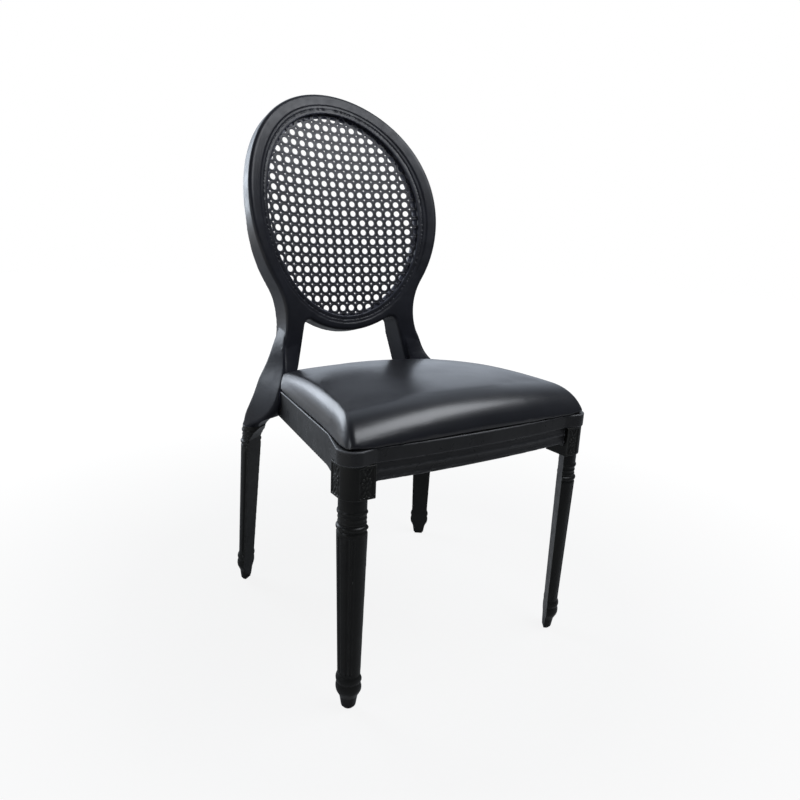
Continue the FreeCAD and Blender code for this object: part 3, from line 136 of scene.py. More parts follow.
# Pad: its swelling, worked out on a coarse draft
PAD_CELL = 0.0022
DRAFT_CELL = 0.005
FOOT_HELD = 0.4365             # below this height the cover is fixed
FOOT_EASE = 0.012              # and above it, it comes free over this much
SLACK = 0.0012                 # the cover starts this far inside, and swells at most
SWELL_CAP = 0.0015             # this far outside
SWELL_PRESSURE = 4.0
SWELL_FRAMES = 20
SWELL_ROUNDS = 24
NORMAL_ROUNDS = 4
NEAREST = 5                    # points of the draft that move one point of the pad
NEAR_EASE = 0.002

# Plastic: outer edges are paler, partly from wear and partly as a painted highlight where
# edges catch the light, and it is duller low down, where hands don't reach
EDGE_START = 0.514
EDGE_END = 0.55
EDGE_WEAR_AND_HIGHLIGHT = 5.0
DULL_SHARE = 0.35
DULL_Z = 0.46
SHINY_Z = 0.56

# Colours of the leather, the plywood and the floor
LEATHER_DARK = (0.0062, 0.0064, 0.0100)
LEATHER_LIGHT = (0.0104, 0.0108, 0.0165)
LEATHER_CREASE = (0.0045, 0.0045, 0.0060)
BIRCH_DARK = (0.46, 0.33, 0.19)
BIRCH_LIGHT = (0.66, 0.51, 0.33)
PLY_LINE = (0.30, 0.19, 0.10)
PAPER_DARK = (0.44, 0.44, 0.44)
PAPER_LIGHT = (0.47, 0.47, 0.47)

# Sockets of a colour mix, which have no names of their own
MIX_FIRST = 6
MIX_SECOND = 7
MIX_COLOUR = 2

# Studio: its pale side is behind the chair, and the camera's side is dim
PALE_SIDE = Vector((0.12, 0.95, 0.29))
PALE_FLOOR = Vector((-1.0, 0.0, 0.0))
FLOOR_HALF = 8.0
FLOOR_GLOW = 1.04
LIGHT_LEVEL = 0.7              # of the world, as it lights the object
GLOSS_LEVEL = 1.12             # and as gloss shows it
ROOM_TINT = (0.80, 0.88, 1.0)
WHITE = (1, 1, 1)
LAMPS = (
    # name, place, target, size, power, colour
    ("overhead", (0.72, -0.85, 2.05), (0.0, -0.2, 0.5), (1.5, 0.75), 25, (0.92, 0.95, 1.0)),
    ("rear_left", (-1.0, 2.1, 1.3), (0, 0, 0.5), (1.2, 1.4), 28, (0.84, 0.91, 1.0)),
    ("left_high", (-2.2, -0.2, 1.1), (0, 0, 0.5), (0.5, 1.0), 6, (0.88, 0.93, 1.0)),
)

# Camera: lens and sensor in millimetres
CAMERA_PLACE = Vector((-0.6375, -1.0199, 0.7323))
CAMERA_AHEAD = Vector((0.53166, 0.80648, -0.25872))
CAMERA_ROLL = math.radians(2.407)
LENS = 29.06
SENSOR = 36.0


# Meshes

def linked(name, data):
    piece = bpy.data.objects.new(name, data)
    bpy.context.scene.collection.objects.link(piece)
    return piece


def mesh_from(name, shell):
    """The finished mesh of a shell, which is then freed."""
    mesh = bpy.data.meshes.new(name)
    shell.to_mesh(mesh)
    shell.free()
    return mesh


def vectors_of(mesh, what):
    values = np.empty(len(mesh.vertices) * 3)
    mesh.vertices.foreach_get(what, values)
    return values.reshape(-1, 3)


def points_of(mesh):
    return vectors_of(mesh, "co")


def normals_of(mesh):
    return vectors_of(mesh, "normal")


def set_points(mesh, points):
    mesh.vertices.foreach_set("co", points.astype(np.float32).ravel())
    mesh.update()


def smooth_shaded(piece):
    piece.data.polygons.foreach_set("use_smooth", [True] * len(piece.data.polygons))
    return piece


def settled(piece):
    """The piece, with its modifiers applied to its mesh."""
    bpy.context.view_layer.update()
    graph = bpy.context.evaluated_depsgraph_get()
    mesh = bpy.data.meshes.new_from_object(piece.evaluated_get(graph))
    piece.modifiers.clear()
    piece.data = mesh
    return piece


def add_cells(piece, size):
    """Make one skin of small even cells round all that the piece holds."""
    cells_step = piece.modifiers.new("cells", "REMESH")
    cells_step.mode = "VOXEL"
    cells_step.voxel_size = size


def add_ease(piece, rounds):
    """Soften the edges."""
    ease = piece.modifiers.new("ease", "SMOOTH")
    ease.factor = 0.5
    ease.iterations = rounds


def add_fewer(piece, share):
    """Keep a share of the faces; the flat places lose the most."""
    fewer = piece.modifiers.new("fewer", "DECIMATE")
    fewer.ratio = share


def moulded(name, source, cell, rounds, share, extras=()):
    """One body with soft edges, as it comes out of a mould, made from a solid."""
    shell = bmesh.new()
    for mesh in (nodes[source].data, *extras):
        shell.from_mesh(mesh)
    bmesh.ops.remove_doubles(shell, verts=shell.verts, dist=TINY)
    piece = linked(name, mesh_from(name, shell))
    add_cells(piece, cell)
    add_ease(piece, rounds)
    add_fewer(piece, share)
    settled(piece)
    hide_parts(source)
    return smooth_shaded(piece)


# Materials

def new_material(name):
    made = bpy.data.materials.new(name)
    made.use_nodes = True
    return made, made.node_tree, made.node_tree.nodes["Principled BSDF"]


def add(tree, kind, **values):
    """A new node, with its settings or its inputs given by name."""
    node = tree.nodes.new(kind)
    for key, value in values.items():
        if hasattr(node, key):
            setattr(node, key, value)
        else:
            node.inputs[key.replace("_", " ")].default_value = value
    return node


def place(tree, stretch=(1, 1, 1)):
    """Where a point lies in the piece's own frame."""
    where = tree.nodes.new("ShaderNodeTexCoord")
    scale = add(tree, "ShaderNodeMapping")
    scale.inputs["Scale"].default_value = stretch
    tree.links.new(where.outputs["Object"], scale.inputs["Vector"])
    return scale.outputs["Vector"]


def noise(tree, scale, detail, stretch=(1, 1, 1)):
    node = add(tree, "ShaderNodeTexNoise", Scale=scale, Detail=detail)
    tree.links.new(place(tree, stretch), node.inputs["Vector"])
    return node.outputs["Fac"]


def spread(tree, source, low, high, start=0.0, end=1.0):
    """The source, moved from the range start to end into low to high, and kept there."""
    node = add(tree, "ShaderNodeMapRange")
    tree.links.new(source, node.inputs["Value"])
    limits = (("From Min", start), ("From Max", end), ("To Min", low), ("To Max", high))
    for key, value in limits:
        node.inputs[key].default_value = value
    return node.outputs["Result"]


def clouds(tree, scale, detail, low=0.0, high=1.0, start=0.3, end=0.7):
    """Soft patches that go from low to high."""
    return spread(tree, noise(tree, scale, detail), low, high, start, end)


def blend(tree, share, first, second):
    """A colour between two, which may be colours or other nodes' colours."""
    node = add(tree, "ShaderNodeMix", data_type="RGBA")
    tree.links.new(share, node.inputs["Factor"])
    for index, value in ((MIX_FIRST, first), (MIX_SECOND, second)):
        if isinstance(value, tuple):
            node.inputs[index].default_value = (*value, 1)
        else:
            tree.links.new(value, node.inputs[index])
    return node.outputs[MIX_COLOUR]


def bump(tree, height, distance, strength, normal=None):
    node = add(tree, "ShaderNodeBump", Distance=distance, Strength=strength)
    tree.links.new(height, node.inputs["Height"])
    if normal is not None:
        tree.links.new(normal, node.inputs["Normal"])
    return node.outputs["Normal"]


def combined(tree, operation, first, second):
    node = add(tree, "ShaderNodeMath", operation=operation)
    tree.links.new(first, node.inputs[0])
    tree.links.new(second, node.inputs[1])
    return node.outputs[0]


def edge_wear_and_highlight(tree):
    """How far a place is an outer edge, from the shape itself; these edges get a paler colour
    that is partly wear and partly painted highlight.
    """
    shape = tree.nodes.new("ShaderNodeNewGeometry")
    return spread(tree, shape.outputs["Pointiness"], low=0.0, high=1.0,
                  start=EDGE_START, end=EDGE_END)


def moulded_plastic(name, dark, light, rough, level):
    """Satin moulded plastic: fine mould texture, soft sink marks, and paler outer edges,
    partly wear and partly a painted highlight.
    """
    made, tree, shader = new_material(name)
    body = blend(tree, clouds(tree, scale=26.0, detail=4.0, start=0.35, end=0.65), dark, light)
    # Outer edges painted paler: partly wear, partly a painted highlight where edges would
    # catch the light
    wear_and_highlight_colour = tuple(min(1.0, part * EDGE_WEAR_AND_HIGHLIGHT) for part in light)
    body = blend(tree, edge_wear_and_highlight(tree), body, wear_and_highlight_colour)
    tree.links.new(body, shader.inputs["Base Color"])
    patchy = clouds(tree, scale=55.0, detail=5.0, low=rough - 0.05, high=rough + 0.07)
    tree.links.new(patchy, shader.inputs["Roughness"])
    texture = noise(tree, scale=1100.0, detail=2.0)
    grain = bump(tree, texture, distance=0.00012, strength=0.22)
    waves = noise(tree, scale=14.0, detail=1.0)
    sink = bump(tree, waves, distance=0.0012, strength=0.10, normal=grain)
    tree.links.new(sink, shader.inputs["Normal"])
    where = add(tree, "ShaderNodeSeparateXYZ")
    tree.links.new(place(tree), where.inputs[0])
    gloss = spread(tree, where.outputs["Z"], low=level * DULL_SHARE, high=level,
                   start=DULL_Z, end=SHINY_Z)
    tree.links.new(gloss, shader.inputs["Specular IOR Level"])
    return made


def leather_material():
    """Smooth black leather: pebbled grain, pores, and soft pulls in the surface."""
    made, tree, shader = new_material("seat_leather_black")
    body = blend(tree, clouds(tree, scale=18.0, detail=4.0), LEATHER_DARK, LEATHER_LIGHT)
    pebbles = add(tree, "ShaderNodeTexVoronoi", feature="DISTANCE_TO_EDGE", Scale=720.0)
    tree.links.new(place(tree), pebbles.inputs["Vector"])
    crease = spread(tree, pebbles.outputs["Distance"], low=0.0, high=1.0, end=0.25)
    body = blend(tree, crease, LEATHER_CREASE, body)
    tree.links.new(body, shader.inputs["Base Color"])
    patchy = clouds(tree, scale=14.0, detail=3.0, low=0.28, high=0.34)
    tree.links.new(patchy, shader.inputs["Roughness"])
    grain = bump(tree, crease, distance=0.00006, strength=0.16)
    specks = noise(tree, scale=1500.0, detail=2.0)
    pores = bump(tree, specks, distance=0.00005, strength=0.12, normal=grain)
    waves = noise(tree, scale=9.0, detail=1.0, stretch=(1.0, 0.55, 1.0))
    pulls = bump(tree, waves, distance=0.003, strength=0.03, normal=pores)
    tree.links.new(pulls, shader.inputs["Normal"])
    shader.inputs["Specular IOR Level"].default_value = 0.5
    shader.inputs["Coat Weight"].default_value = 0.18
    shader.inputs["Coat Roughness"].default_value = 0.22
    return made


def metal(name, dark, light, rough):
    """Turned or plated metal, with fine lines and dull spots."""
    made, tree, shader = new_material(name)
    body = blend(tree, clouds(tree, scale=240.0, detail=4.0), dark, light)
    tree.links.new(body, shader.inputs["Base Color"])
    shader.inputs["Metallic"].default_value = 1.0
    patchy = clouds(tree, scale=420.0, detail=4.0, low=rough - 0.08, high=rough + 0.12)
    tree.links.new(patchy, shader.inputs["Roughness"])
    turned = noise(tree, scale=900.0, detail=2.0, stretch=(1.0, 1.0, 9.0))
    lines = bump(tree, turned, distance=0.00006, strength=0.3)
    tree.links.new(lines, shader.inputs["Normal"])
    return made


def plywood():
    """Birch plywood: plies along its edge, long grain on its faces."""
    made, tree, shader = new_material("board_plywood")
    grain = noise(tree, scale=60.0, detail=5.0, stretch=(1.0, 9.0, 1.0))
    share = spread(tree, grain, low=0.0, high=1.0, start=0.3, end=0.7)
    face = blend(tree, share, BIRCH_DARK, BIRCH_LIGHT)
    wave = add(tree, "ShaderNodeTexWave", bands_direction="Z", Scale=105.0, Distortion=0.4)
    tree.links.new(place(tree), wave.inputs["Vector"])
    plies = spread(tree, wave.outputs["Fac"], low=0.0, high=0.35, start=0.4, end=0.7)
    body = blend(tree, plies, face, PLY_LINE)
    tree.links.new(body, shader.inputs["Base Color"])
    patchy = spread(tree, grain, low=0.55, high=0.75)
    tree.links.new(patchy, shader.inputs["Roughness"])
    ridges = bump(tree, grain, distance=0.0003, strength=0.3)
    tree.links.new(ridges, shader.inputs["Normal"])
    return made


def dress(piece, material):
    piece.data.materials.clear()
    piece.data.materials.append(material)


# Back, seat frame, legs and cane are one black plastic, and their colours differ as painted
# light: the bluish tint of back and cane is the light's colour, the paler seat frame is
# painted light and the darker legs are painted shade
RING_PLASTIC = moulded_plastic("back_plastic", dark=(0.0098, 0.0102, 0.0140),
                               light=(0.0150, 0.0158, 0.0216), rough=0.36, level=0.32)
FRAME_PLASTIC = moulded_plastic("frame_plastic", dark=(0.0200, 0.0200, 0.0205),
                                light=(0.0260, 0.0260, 0.0268), rough=0.30, level=0.75)
LEG_PLASTIC = moulded_plastic("leg_plastic", dark=(0.0075, 0.0075, 0.0068),
                              light=(0.0110, 0.0110, 0.0098), rough=0.34, level=0.60)
CANE_PLASTIC = moulded_plastic("cane_plastic", dark=(0.0110, 0.0110, 0.0140),
                               light=(0.0170, 0.0170, 0.0215), rough=0.34, level=0.36)
GLIDE_PLASTIC = moulded_plastic("glide_plastic", dark=(0.009, 0.009, 0.009),
                                light=(0.013, 0.013, 0.013), rough=0.46, level=0.26)
LEATHER = leather_material()
STEEL = metal("screw_steel", dark=(0.36, 0.36, 0.37), light=(0.52, 0.52, 0.52), rough=0.34)
BRASS = metal("insert_brass", dark=(0.55, 0.40, 0.16), light=(0.78, 0.60, 0.28), rough=0.30)
PLYWOOD = plywood()

NODE_MATERIALS = {
    "cane_retaining_ring": RING_PLASTIC,
    "retaining_ring_screws": STEEL, "front_leg_bolts": STEEL, "front_leg_washers": STEEL,
    "rear_leg_cross_bolts": STEEL, "back_bolts": STEEL, "back_bolt_washers": STEEL,
    "pad_screws": STEEL, "pad_tee_nuts": STEEL, "cover_staples": STEEL,
    "front_leg_inserts": BRASS, "back_inserts": BRASS, "seat_board": PLYWOOD,
    "foot_glide_front_left": GLIDE_PLASTIC, "foot_glide_front_right": GLIDE_PLASTIC,
    "foot_glide_rear_left": GLIDE_PLASTIC, "foot_glide_rear_right": GLIDE_PLASTIC,
}
for node_name, node_material in NODE_MATERIALS.items():
    dress(nodes[node_name], node_material)


# Cane

def on_back(points):
    """From the back's own axes (across, up, ahead of the saddle) to the chair's."""
    across, up, ahead = points.T
    ahead = ahead + across ** 2 / (2 * RADIUS_ACROSS) - up ** 2 / (2 * RADIUS_UP)
    rise, lean = math.cos(BACK_RAKE), math.sin(BACK_RAKE)
    return np.stack([across, BACK_Y + up * lean - ahead * rise,
                     BACK_Z + up * rise + ahead * lean], axis=1)


def cane_angles():
    """Directions from a hole's middle, with one through each end of a diamond's side."""
    half_x, half_y = PITCH_ACROSS / 2, PITCH_UP / 2
    first = math.atan2(half_y - DIAMOND, half_x)
    last = math.atan2(half_y, half_x - DIAMOND)
    quarter = [first * share for share in SHARES_BESIDE]
    quarter += [(first + last) / 2, last]
    quarter += [last + (math.pi / 2 - last) * share for share in SHARES_ABOVE]
    mirrored = [math.pi - angle for angle in quarter[1:]]
    half_turn = sorted([*quarter, math.pi / 2, *mirrored])
    return half_turn + [angle + math.pi for angle in half_turn]


def cane_tile():
    """One cell of the net, about its hole: flat places, and how full the sheet is there.

    The outer line follows the cell's square, with a quarter of a diamond cut from
    each corner.
    """
    lines = []
    half_x, half_y = PITCH_ACROSS / 2, PITCH_UP / 2
    for angle in cane_angles():
        way = np.array([math.cos(angle), math.sin(angle)])
        square = min(half_x / max(abs(way[0]), TINY), half_y / max(abs(way[1]), TINY))
        slant = (half_x + half_y - DIAMOND) / (abs(way[0]) + abs(way[1]))
        on_corner = slant < square + TINY
        reach = min(square, slant)
        line = []
        for ring in range(NET_RINGS + 1):
            distance = HOLE_RADIUS + (reach - HOLE_RADIUS) * ring / NET_RINGS
            inner = (distance - HOLE_RADIUS) / STRAND_HALF
            outer = (reach - distance) / STRAND_HALF if on_corner else 1.0
            edge = min(1.0, inner, outer)
            full = math.sqrt(max(0.0, 1 - (1 - edge) ** 2))
            if not on_corner and ring == NET_RINGS:
                full *= 1 - SEAM_SHARE
            line.append((*(way * distance), full))
        lines.append(line)
    return lines


def add_cell(net, tile, across, up):
    """One cell with its two faces, laid at its place in the net."""
    turns = len(tile)
    for side in (1, -1):
        corners = [[net.verts.new((across + x, up + y, side * SHEET_HALF * full))
                    for x, y, full in line] for line in tile]
        for turn in range(turns):
            line, after = corners[turn], corners[(turn + 1) % turns]
            for ring in range(NET_RINGS):
                quad = [line[ring], line[ring + 1], after[ring + 1], after[ring]]
                net.faces.new(quad if side > 0 else quad[::-1])


def cane_net():
    """The whole net as one sheet with two faces, its strands rounded at each hole."""
    tile = cane_tile()
    net = bmesh.new()
    half_width = CANE_HALF_WIDTH + PANEL_EDGE
    half_height = CANE_HALF_HEIGHT + PANEL_EDGE
    columns = math.ceil(half_width / PITCH_ACROSS)
    rows = math.ceil(half_height / PITCH_UP)
    for row in range(-rows, rows + 1):
        for column in range(-columns, columns):
            across = (column + 0.5) * PITCH_ACROSS
            up = row * PITCH_UP - ROW_DROP
            near_x = max(0.0, abs(across) - PITCH_ACROSS / 2) / half_width
            near_y = max(0.0, abs(up + CANE_DROP) - PITCH_UP / 2) / half_height
            if math.hypot(near_x, near_y) <= 1:
                add_cell(net, tile, across, up)
    bmesh.ops.remove_doubles(net, verts=net.verts, dist=NET_WELD)
    return mesh_from("cane_net", net)


def oval_plug():
    """A solid oval as large as the panel, to trim the net with."""
    plug = bmesh.new()
    loops = []
    for level in (-PLUG_HALF, PLUG_HALF):
        loop = []
        for index in range(PLUG_SIDES):
            angle = 2 * math.pi * index / PLUG_SIDES
            across = (CANE_HALF_WIDTH + PANEL_EDGE) * math.cos(angle)
            up = (CANE_HALF_HEIGHT + PANEL_EDGE) * math.sin(angle) - CANE_DROP
            loop.append(plug.verts.new((across, up, level)))
        loops.append(loop)
    below, above = loops
    plug.faces.new(below[::-1])
    plug.faces.new(above)
    for index in range(PLUG_SIDES):
        after = (index + 1) % PLUG_SIDES
        plug.faces.new([below[index], below[after], above[after], above[index]])
    return mesh_from("oval_plug", plug)


def cane_piece():
    piece = linked("cane_panel_net", cane_net())
    tool = linked("oval_tool", oval_plug())
    trim = piece.modifiers.new("trim", "BOOLEAN")
    trim.operation = "INTERSECT"
    trim.solver = "EXACT"
    trim.object = tool
    settled(piece)
    bpy.data.objects.remove(tool)
    set_points(piece.data, on_back(points_of(piece.data)))
    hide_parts("cane_panel")
    return smooth_shaded(piece)


# Carved flower of a leg's block

def ball_mesh(balls):
    """Stretched balls as one mesh, each from its middle, its turn and its half sizes."""
    shell = bmesh.new()
    for middle, turn, half_sizes in balls:
        made = bmesh.ops.create_uvsphere(shell, u_segments=BALL_AROUND, v_segments=BALL_RINGS,
                                         radius=1.0)
        shape = Matrix.Translation(middle) @ turn @ Matrix.Diagonal((*half_sizes, 1))
        bmesh.ops.transform(shell, matrix=shape, verts=made["verts"])
    return mesh_from("balls", shell)


def flower(side, face):
    """Petals, eye, leaves and buds on one outer face of a block."""
    across = FRONT_X + COLUMN - BLOCK + PANEL_INSET + (BLOCK - COLUMN) / 2
    low, high = BLOCK_LOW + PANEL_INSET, BLOCK_TOP - PANEL_INSET
    middle = Vector((across, FRONT_Y - COLUMN + PANEL_DEEP, (low + high) / 2))
    straight = Matrix.Identity(4)
    balls = []
    for petal in range(PETALS):
        angle = 2 * math.pi * petal / PETALS
        out = Vector((math.cos(angle), 0, math.sin(angle))) * PETAL_OUT
        balls.append((middle + out, Matrix.Rotation(-angle, 4, "Y"), PETAL_HALF))
    balls.append((middle, straight, EYE_HALF))
    for lift in (-1, 1):
        for lean in (-1, 1):
            leaf = middle + Vector((lean * LEAF_ACROSS, 0, lift * LEAF_UP))
            turn = Matrix.Rotation(-lean * lift * LEAF_TURN, 4, "Y")
            balls.append((leaf, turn, LEAF_HALF))
        balls.append((middle + Vector((0, 0, lift * BUD_UP)), straight, BUD_HALF))
    mesh = ball_mesh(balls)
    points = points_of(mesh)
    if face == "side":
        corner_x, corner_y = FRONT_X + COLUMN, FRONT_Y - COLUMN
        points = np.stack([corner_x - (points[:, 1] - corner_y),
                           corner_y - (points[:, 0] - corner_x), points[:, 2]], axis=1)
        mesh.flip_normals()
    if side < 0:
        points = points * np.array([-1, 1, 1])
        mesh.flip_normals()
    set_points(mesh, points)
    return mesh


# Cushion

def inside_pad(points):
    """How far a place lies inside the pad's front, rear and side edges, from above."""
    across, deep = np.abs(points[:, 0]), points[:, 1]
    bow = (across / PAD_CORNER_X - PAD_BOW_SHARE) / (1 - PAD_BOW_SHARE)
    front = deep - PAD_FRONT_Y - PAD_BOW * np.clip(bow, 0.0, 1.0)
    depths = (PAD_FRONT_Y + PAD_BOW, PAD_BLEND_Y, PAD_REAR_Y)
    edge = np.interp(deep, depths, (PAD_CORNER_X, PAD_BLEND_X, PAD_REAR_X))
    slope = (PAD_BLEND_X - PAD_REAR_X) / (PAD_REAR_Y - PAD_BLEND_Y)
    side = (edge - across) / math.hypot(1, slope)
    return front, PAD_REAR_Y - deep, side


def sharpened(points):
    """Draw the two front corners out, to the smaller round that the cover has there."""
    front, _rear, side = inside_pad(points)
    along = np.clip(1 - side / PAD_CORNER, 0.0, CORNER_REACH)
    ahead = np.clip(1 - front / PAD_CORNER, 0.0, CORNER_REACH)
    reach = np.maximum(np.hypot(along, ahead), TINY)
    square = (along / reach) ** CORNER_POWER + (ahead / reach) ** CORNER_POWER
    grow = np.maximum(square, CORNER_LEAST) ** (-1 / CORNER_POWER) - 1
    moved = points.copy()
    moved[:, 0] += np.sign(points[:, 0]) * PAD_CORNER * along * grow
    moved[:, 1] -= PAD_CORNER * ahead * grow
    return moved


def rolled(points):
    """Bring the pad down to its crown and to the long roll of its edges."""
    across, deep = points[:, 0], points[:, 1] - CROWN_Y
    crown = CROWN_Z - across ** 2 / (2 * CROWN_ACROSS) - deep ** 2 / (2 * CROWN_DEEP)
    edges = inside_pad(points)
    near = 0.0
    for inside, reach in zip(edges, (ROLL_FRONT, ROLL_SIDE, ROLL_SIDE)):
        near = near + (1 - np.clip(inside / reach, 0.0, 1.0)) ** ROLL_POWER
    near = np.minimum(near, 1.0) ** (1 / ROLL_POWER)
    top = crown - ROLL_HIGH * (1 - np.sqrt(1 - near ** 2))
    over_board = np.clip(np.minimum.reduce(edges) / BOARD_INSIDE, 0.0, 1.0)
    over_board *= np.clip((points[:, 1] - PAD_BLEND_Y) / BOARD_FADE + 1, 0.0, 1.0)
    top = np.maximum(top, FILL_FOOT + (BOARD_COVERED - FILL_FOOT) * over_board)
    lowered = points.copy()
    lowered[:, 2] = np.minimum(points[:, 2], top)
    return lowered


def footed(points, normals):
    """Bring the foot of the cover out to the edge of the seat frame."""
    low = np.clip((FOOT_FREE - points[:, 2]) / (FOOT_FREE - FOOT_TIGHT), 0.0, 1.0)
    edge = np.minimum.reduce(inside_pad(points))
    skin = np.clip(2 - edge / FOOT_SKIN, 0.0, 1.0)
    moved = points.copy()
    moved[:, :2] += normals[:, :2] * (FOOT_OUT * low * skin)[:, None]
    return moved


def pad_form(name, cell):
    """The whole pad as one closed form of small cells: cover, foam and board together."""
    shell = bmesh.new()
    shell.from_mesh(nodes["seat_foam"].data)
    for corner in shell.verts:
        if corner.co.z < FOAM_FOOT:
            corner.co.z = FILL_FOOT
    for source in ("seat_cover", "seat_board"):
        shell.from_mesh(nodes[source].data)
    bmesh.ops.remove_doubles(shell, verts=shell.verts, dist=TINY)
    piece = linked(name, mesh_from(name, shell))
    add_cells(piece, cell)
    settled(piece)
    set_points(piece.data, rolled(sharpened(points_of(piece.data))))
    add_cells(piece, cell)
    return settled(piece)


def swell(piece):
    """Blow the cover up a little, with its foot held."""
    start = points_of(piece.data)
    held = piece.vertex_groups.new(name="held")
    low = np.nonzero(start[:, 2] < FOOT_HELD)[0]
    held.add([int(index) for index in low], 1.0, "REPLACE")
    cloth = piece.modifiers.new("cloth", "CLOTH")
    settings = cloth.settings
    settings.quality = 6
    settings.mass = 0.3
    settings.use_pressure = True
    settings.uniform_pressure_force = SWELL_PRESSURE
    settings.effector_weights.gravity = 0
    settings.vertex_group_mass = held.name
    cloth.collision_settings.use_collision = False
    scene = bpy.context.scene
    cloth.point_cache.frame_start = 1
    cloth.point_cache.frame_end = SWELL_FRAMES
    for step in range(1, SWELL_FRAMES + 1):
        scene.frame_set(step)
    graph = bpy.context.evaluated_depsgraph_get()
    end = points_of(piece.evaluated_get(graph).data)
    piece.modifiers.remove(cloth)
    scene.frame_set(1)
    set_points(piece.data, end)


def evened(mesh, values, rounds):
    """Values of a mesh's points, each drawn towards the mean of its neighbours."""
    ends = np.empty(len(mesh.edges) * 2, dtype=np.int64)
    mesh.edges.foreach_get("vertices", ends)
    first, second = ends.reshape(-1, 2).T
    count = np.bincount(ends, minlength=len(values)).reshape(-1, 1)
    for _round in range(rounds):
        total = np.zeros_like(values)
        np.add.at(total, first, values[second])
        np.add.at(total, second, values[first])
        values = (values + total / count) / 2
    return values


def swelling():
    """Where the pad fills its cover: points of the cover, and how each one moves."""
    draft = pad_form("pad_draft", DRAFT_CELL)
    start = points_of(draft.data)
    normals = evened(draft.data, normals_of(draft.data), NORMAL_ROUNDS)
    normals /= np.linalg.norm(normals, axis=1, keepdims=True)
    set_points(draft.data, start - SLACK * normals)
    swell(draft)
    outward = ((points_of(draft.data) - start) * normals).sum(axis=1, keepdims=True)
    outward = np.clip(outward, -SLACK, SWELL_CAP)
    free = np.clip((start[:, 2:] - FOOT_HELD) / FOOT_EASE, 0.0, 1.0)
    outward = evened(draft.data, outward * free, SWELL_ROUNDS)
    bpy.data.objects.remove(draft)
    return start, outward * normals


def swollen(points):
    """The pad's points, moved as the nearest points of the draft are."""
    start, move = swelling()
    tree = KDTree(len(start))
    for index, point in enumerate(start):
        tree.insert(point, index)
    tree.balance()
    for index, point in enumerate(points):
        near = tree.find_n(point, NEAREST)
        weights = np.array([1 / (reach + NEAR_EASE) for _place, _index, reach in near])
        chosen = [at for _place, at, _reach in near]
        points[index] = point + weights @ move[chosen] / weights.sum()
    return points


def cushion_piece():
    piece = pad_form("seat_cushion", PAD_CELL)
    set_points(piece.data, swollen(points_of(piece.data)))
    add_ease(piece, rounds=4)
    settled(piece)
    set_points(piece.data, footed(points_of(piece.data), normals_of(piece.data)))
    add_fewer(piece, share=0.6)
    settled(piece)
    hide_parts("seat_cover", "seat_foam")
    return smooth_shaded(piece)


# The pieces of the scene that take the place of solids

back = moulded("back_frame_moulded", "back_frame", FRAME_CELL, rounds=3, share=0.45)
dress(back, RING_PLASTIC)
seat = moulded("seat_frame_moulded", "seat_frame", FRAME_CELL, rounds=2, share=0.4)
dress(seat, FRAME_PLASTIC)
cane = cane_piece()
dress(cane, CANE_PLASTIC)
cushion = cushion_piece()
dress(cushion, LEATHER)

pieces = [(back, "frame_plastic"), (seat, "frame_plastic"), (cane, "cane_plastic"),
          (cushion, "seat_leather")]
for side, side_name in ((1, "right"), (-1, "left")):
    carving = [flower(side, "front"), flower(side, "side")]
    leg = moulded("front_leg_moulded_" + side_name, "front_leg_" + side_name,
                  FRONT_LEG_CELL, rounds=2, share=0.3, extras=carving)
    rear = moulded("rear_leg_moulded_" + side_name, "rear_leg_" + side_name,
                   REAR_LEG_CELL, rounds=2, share=0.3)
    for piece in (leg, rear):
        dress(piece, LEG_PLASTIC)
        pieces.append((piece, "frame_plastic"))
for piece, slot_name in pieces:
    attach(piece, "root")


# Studio

def gloss_ray(tree):
    """One on a ray that a gloss or a glass sends out, else nought."""
    path = tree.nodes.new("ShaderNodeLightPath")
    return combined(tree, "MAXIMUM", path.outputs["Is Glossy Ray"],
                    path.outputs["Is Transmission Ray"])


def camera_ray(tree):
    return tree.nodes.new("ShaderNodeLightPath").outputs["Is Camera Ray"]


def toward(tree, coordinates, way):
    """How far a place, or a direction, reaches along a way."""
    where = tree.nodes.new("ShaderNodeTexCoord")
    node = add(tree, "ShaderNodeVectorMath", operation="DOT_PRODUCT")
    tree.links.new(where.outputs[coordinates], node.inputs[0])
    node.inputs[1].default_value = way
    return node.outputs["Value"]


def floor_glow(tree):
    """Where the floor is white: far out for the camera, and on its pale side for gloss."""
    where = tree.nodes.new("ShaderNodeTexCoord")
    reach = add(tree, "ShaderNodeVectorMath", operation="LENGTH")
    tree.links.new(where.outputs["Object"], reach.inputs[0])
    far = spread(tree, reach.outputs["Value"], low=0.84, high=1.0, start=0.5, end=1.5)
    pale = spread(tree, toward(tree, "Object", PALE_FLOOR), low=0.04, high=0.9,
                  start=1.1, end=1.6)
    seen = combined(tree, "MULTIPLY", camera_ray(tree), far)
    mirrored = combined(tree, "MULTIPLY", gloss_ray(tree), pale)
    return combined(tree, "MAXIMUM", seen, mirrored)


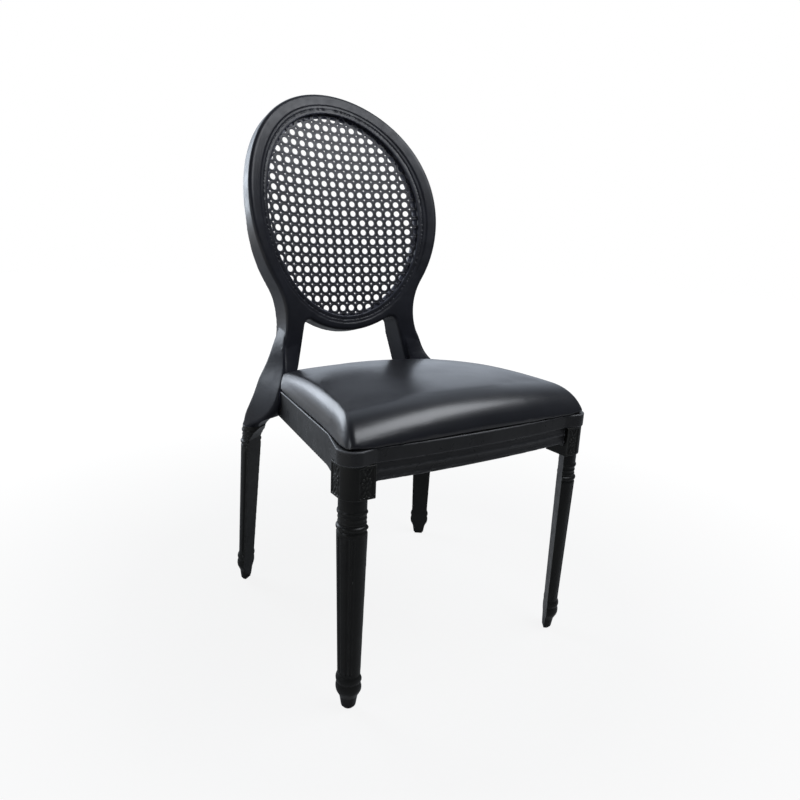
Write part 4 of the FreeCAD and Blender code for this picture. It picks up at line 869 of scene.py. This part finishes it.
def studio_floor():
    mesh = bpy.data.meshes.new("floor")
    corners = [(-FLOOR_HALF, -FLOOR_HALF, 0), (FLOOR_HALF, -FLOOR_HALF, 0),
               (FLOOR_HALF, FLOOR_HALF, 0), (-FLOOR_HALF, FLOOR_HALF, 0)]
    mesh.from_pydata(corners, [], [(0, 1, 2, 3)])
    floor = linked("studio_floor", mesh)
    made, tree, shader = new_material("floor_paper")
    paper = blend(tree, clouds(tree, scale=90.0, detail=3.0), PAPER_DARK, PAPER_LIGHT)
    tree.links.new(paper, shader.inputs["Base Color"])
    shader.inputs["Roughness"].default_value = 0.9
    shader.inputs["Specular IOR Level"].default_value = 0.0
    glow = add(tree, "ShaderNodeEmission", Strength=FLOOR_GLOW)
    mix = tree.nodes.new("ShaderNodeMixShader")
    tree.links.new(floor_glow(tree), mix.inputs["Fac"])
    tree.links.new(shader.outputs[0], mix.inputs[1])
    tree.links.new(glow.outputs[0], mix.inputs[2])
    tree.links.new(mix.outputs[0], tree.nodes["Material Output"].inputs["Surface"])
    dress(floor, made)


def studio_world():
    """White for the camera; for the object a soft light, brighter from the pale side."""
    world = bpy.data.worlds.new("studio")
    bpy.context.scene.world = world
    world.use_nodes = True
    tree = world.node_tree
    ground = tree.nodes["Background"]
    room = spread(tree, toward(tree, "Generated", PALE_SIDE), low=0.16, high=1.0,
                  start=0.45, end=0.86)
    level = spread(tree, gloss_ray(tree), low=LIGHT_LEVEL, high=GLOSS_LEVEL)
    strength = combined(tree, "MULTIPLY", room, level)
    strength = combined(tree, "MAXIMUM", strength, camera_ray(tree))
    tint = blend(tree, camera_ray(tree), ROOM_TINT, WHITE)
    tree.links.new(tint, ground.inputs["Color"])
    tree.links.new(strength, ground.inputs["Strength"])


def lamp(name, place_at, target, size, power, colour):
    data = bpy.data.lights.new(name, "AREA")
    data.shape = "RECTANGLE"
    data.size, data.size_y = size
    data.energy = power
    data.color = colour
    light = linked(name, data)
    light.visible_camera = False
    light.location = place_at
    light.rotation_mode = "QUATERNION"
    aim = Vector(target) - Vector(place_at)
    light.rotation_quaternion = aim.to_track_quat("-Z", "Y")


def studio_camera():
    data = bpy.data.cameras.new("camera")
    data.lens = LENS
    data.sensor_width = SENSOR
    camera = linked("camera", data)
    camera.location = CAMERA_PLACE
    ahead = CAMERA_AHEAD.normalized()
    right = ahead.cross(Vector((0, 0, 1))).normalized()
    up = right.cross(ahead)
    roll_right = right * math.cos(CAMERA_ROLL) + up * math.sin(CAMERA_ROLL)
    roll_up = up * math.cos(CAMERA_ROLL) - right * math.sin(CAMERA_ROLL)
    turn = Matrix((roll_right, roll_up, -ahead)).transposed()
    camera.rotation_mode = "QUATERNION"
    camera.rotation_quaternion = turn.to_quaternion()
    bpy.context.scene.camera = camera


studio_floor()
studio_world()
for lamp_values in LAMPS:
    lamp(*lamp_values)
studio_camera()
bpy.context.scene.view_settings.view_transform = "Standard"
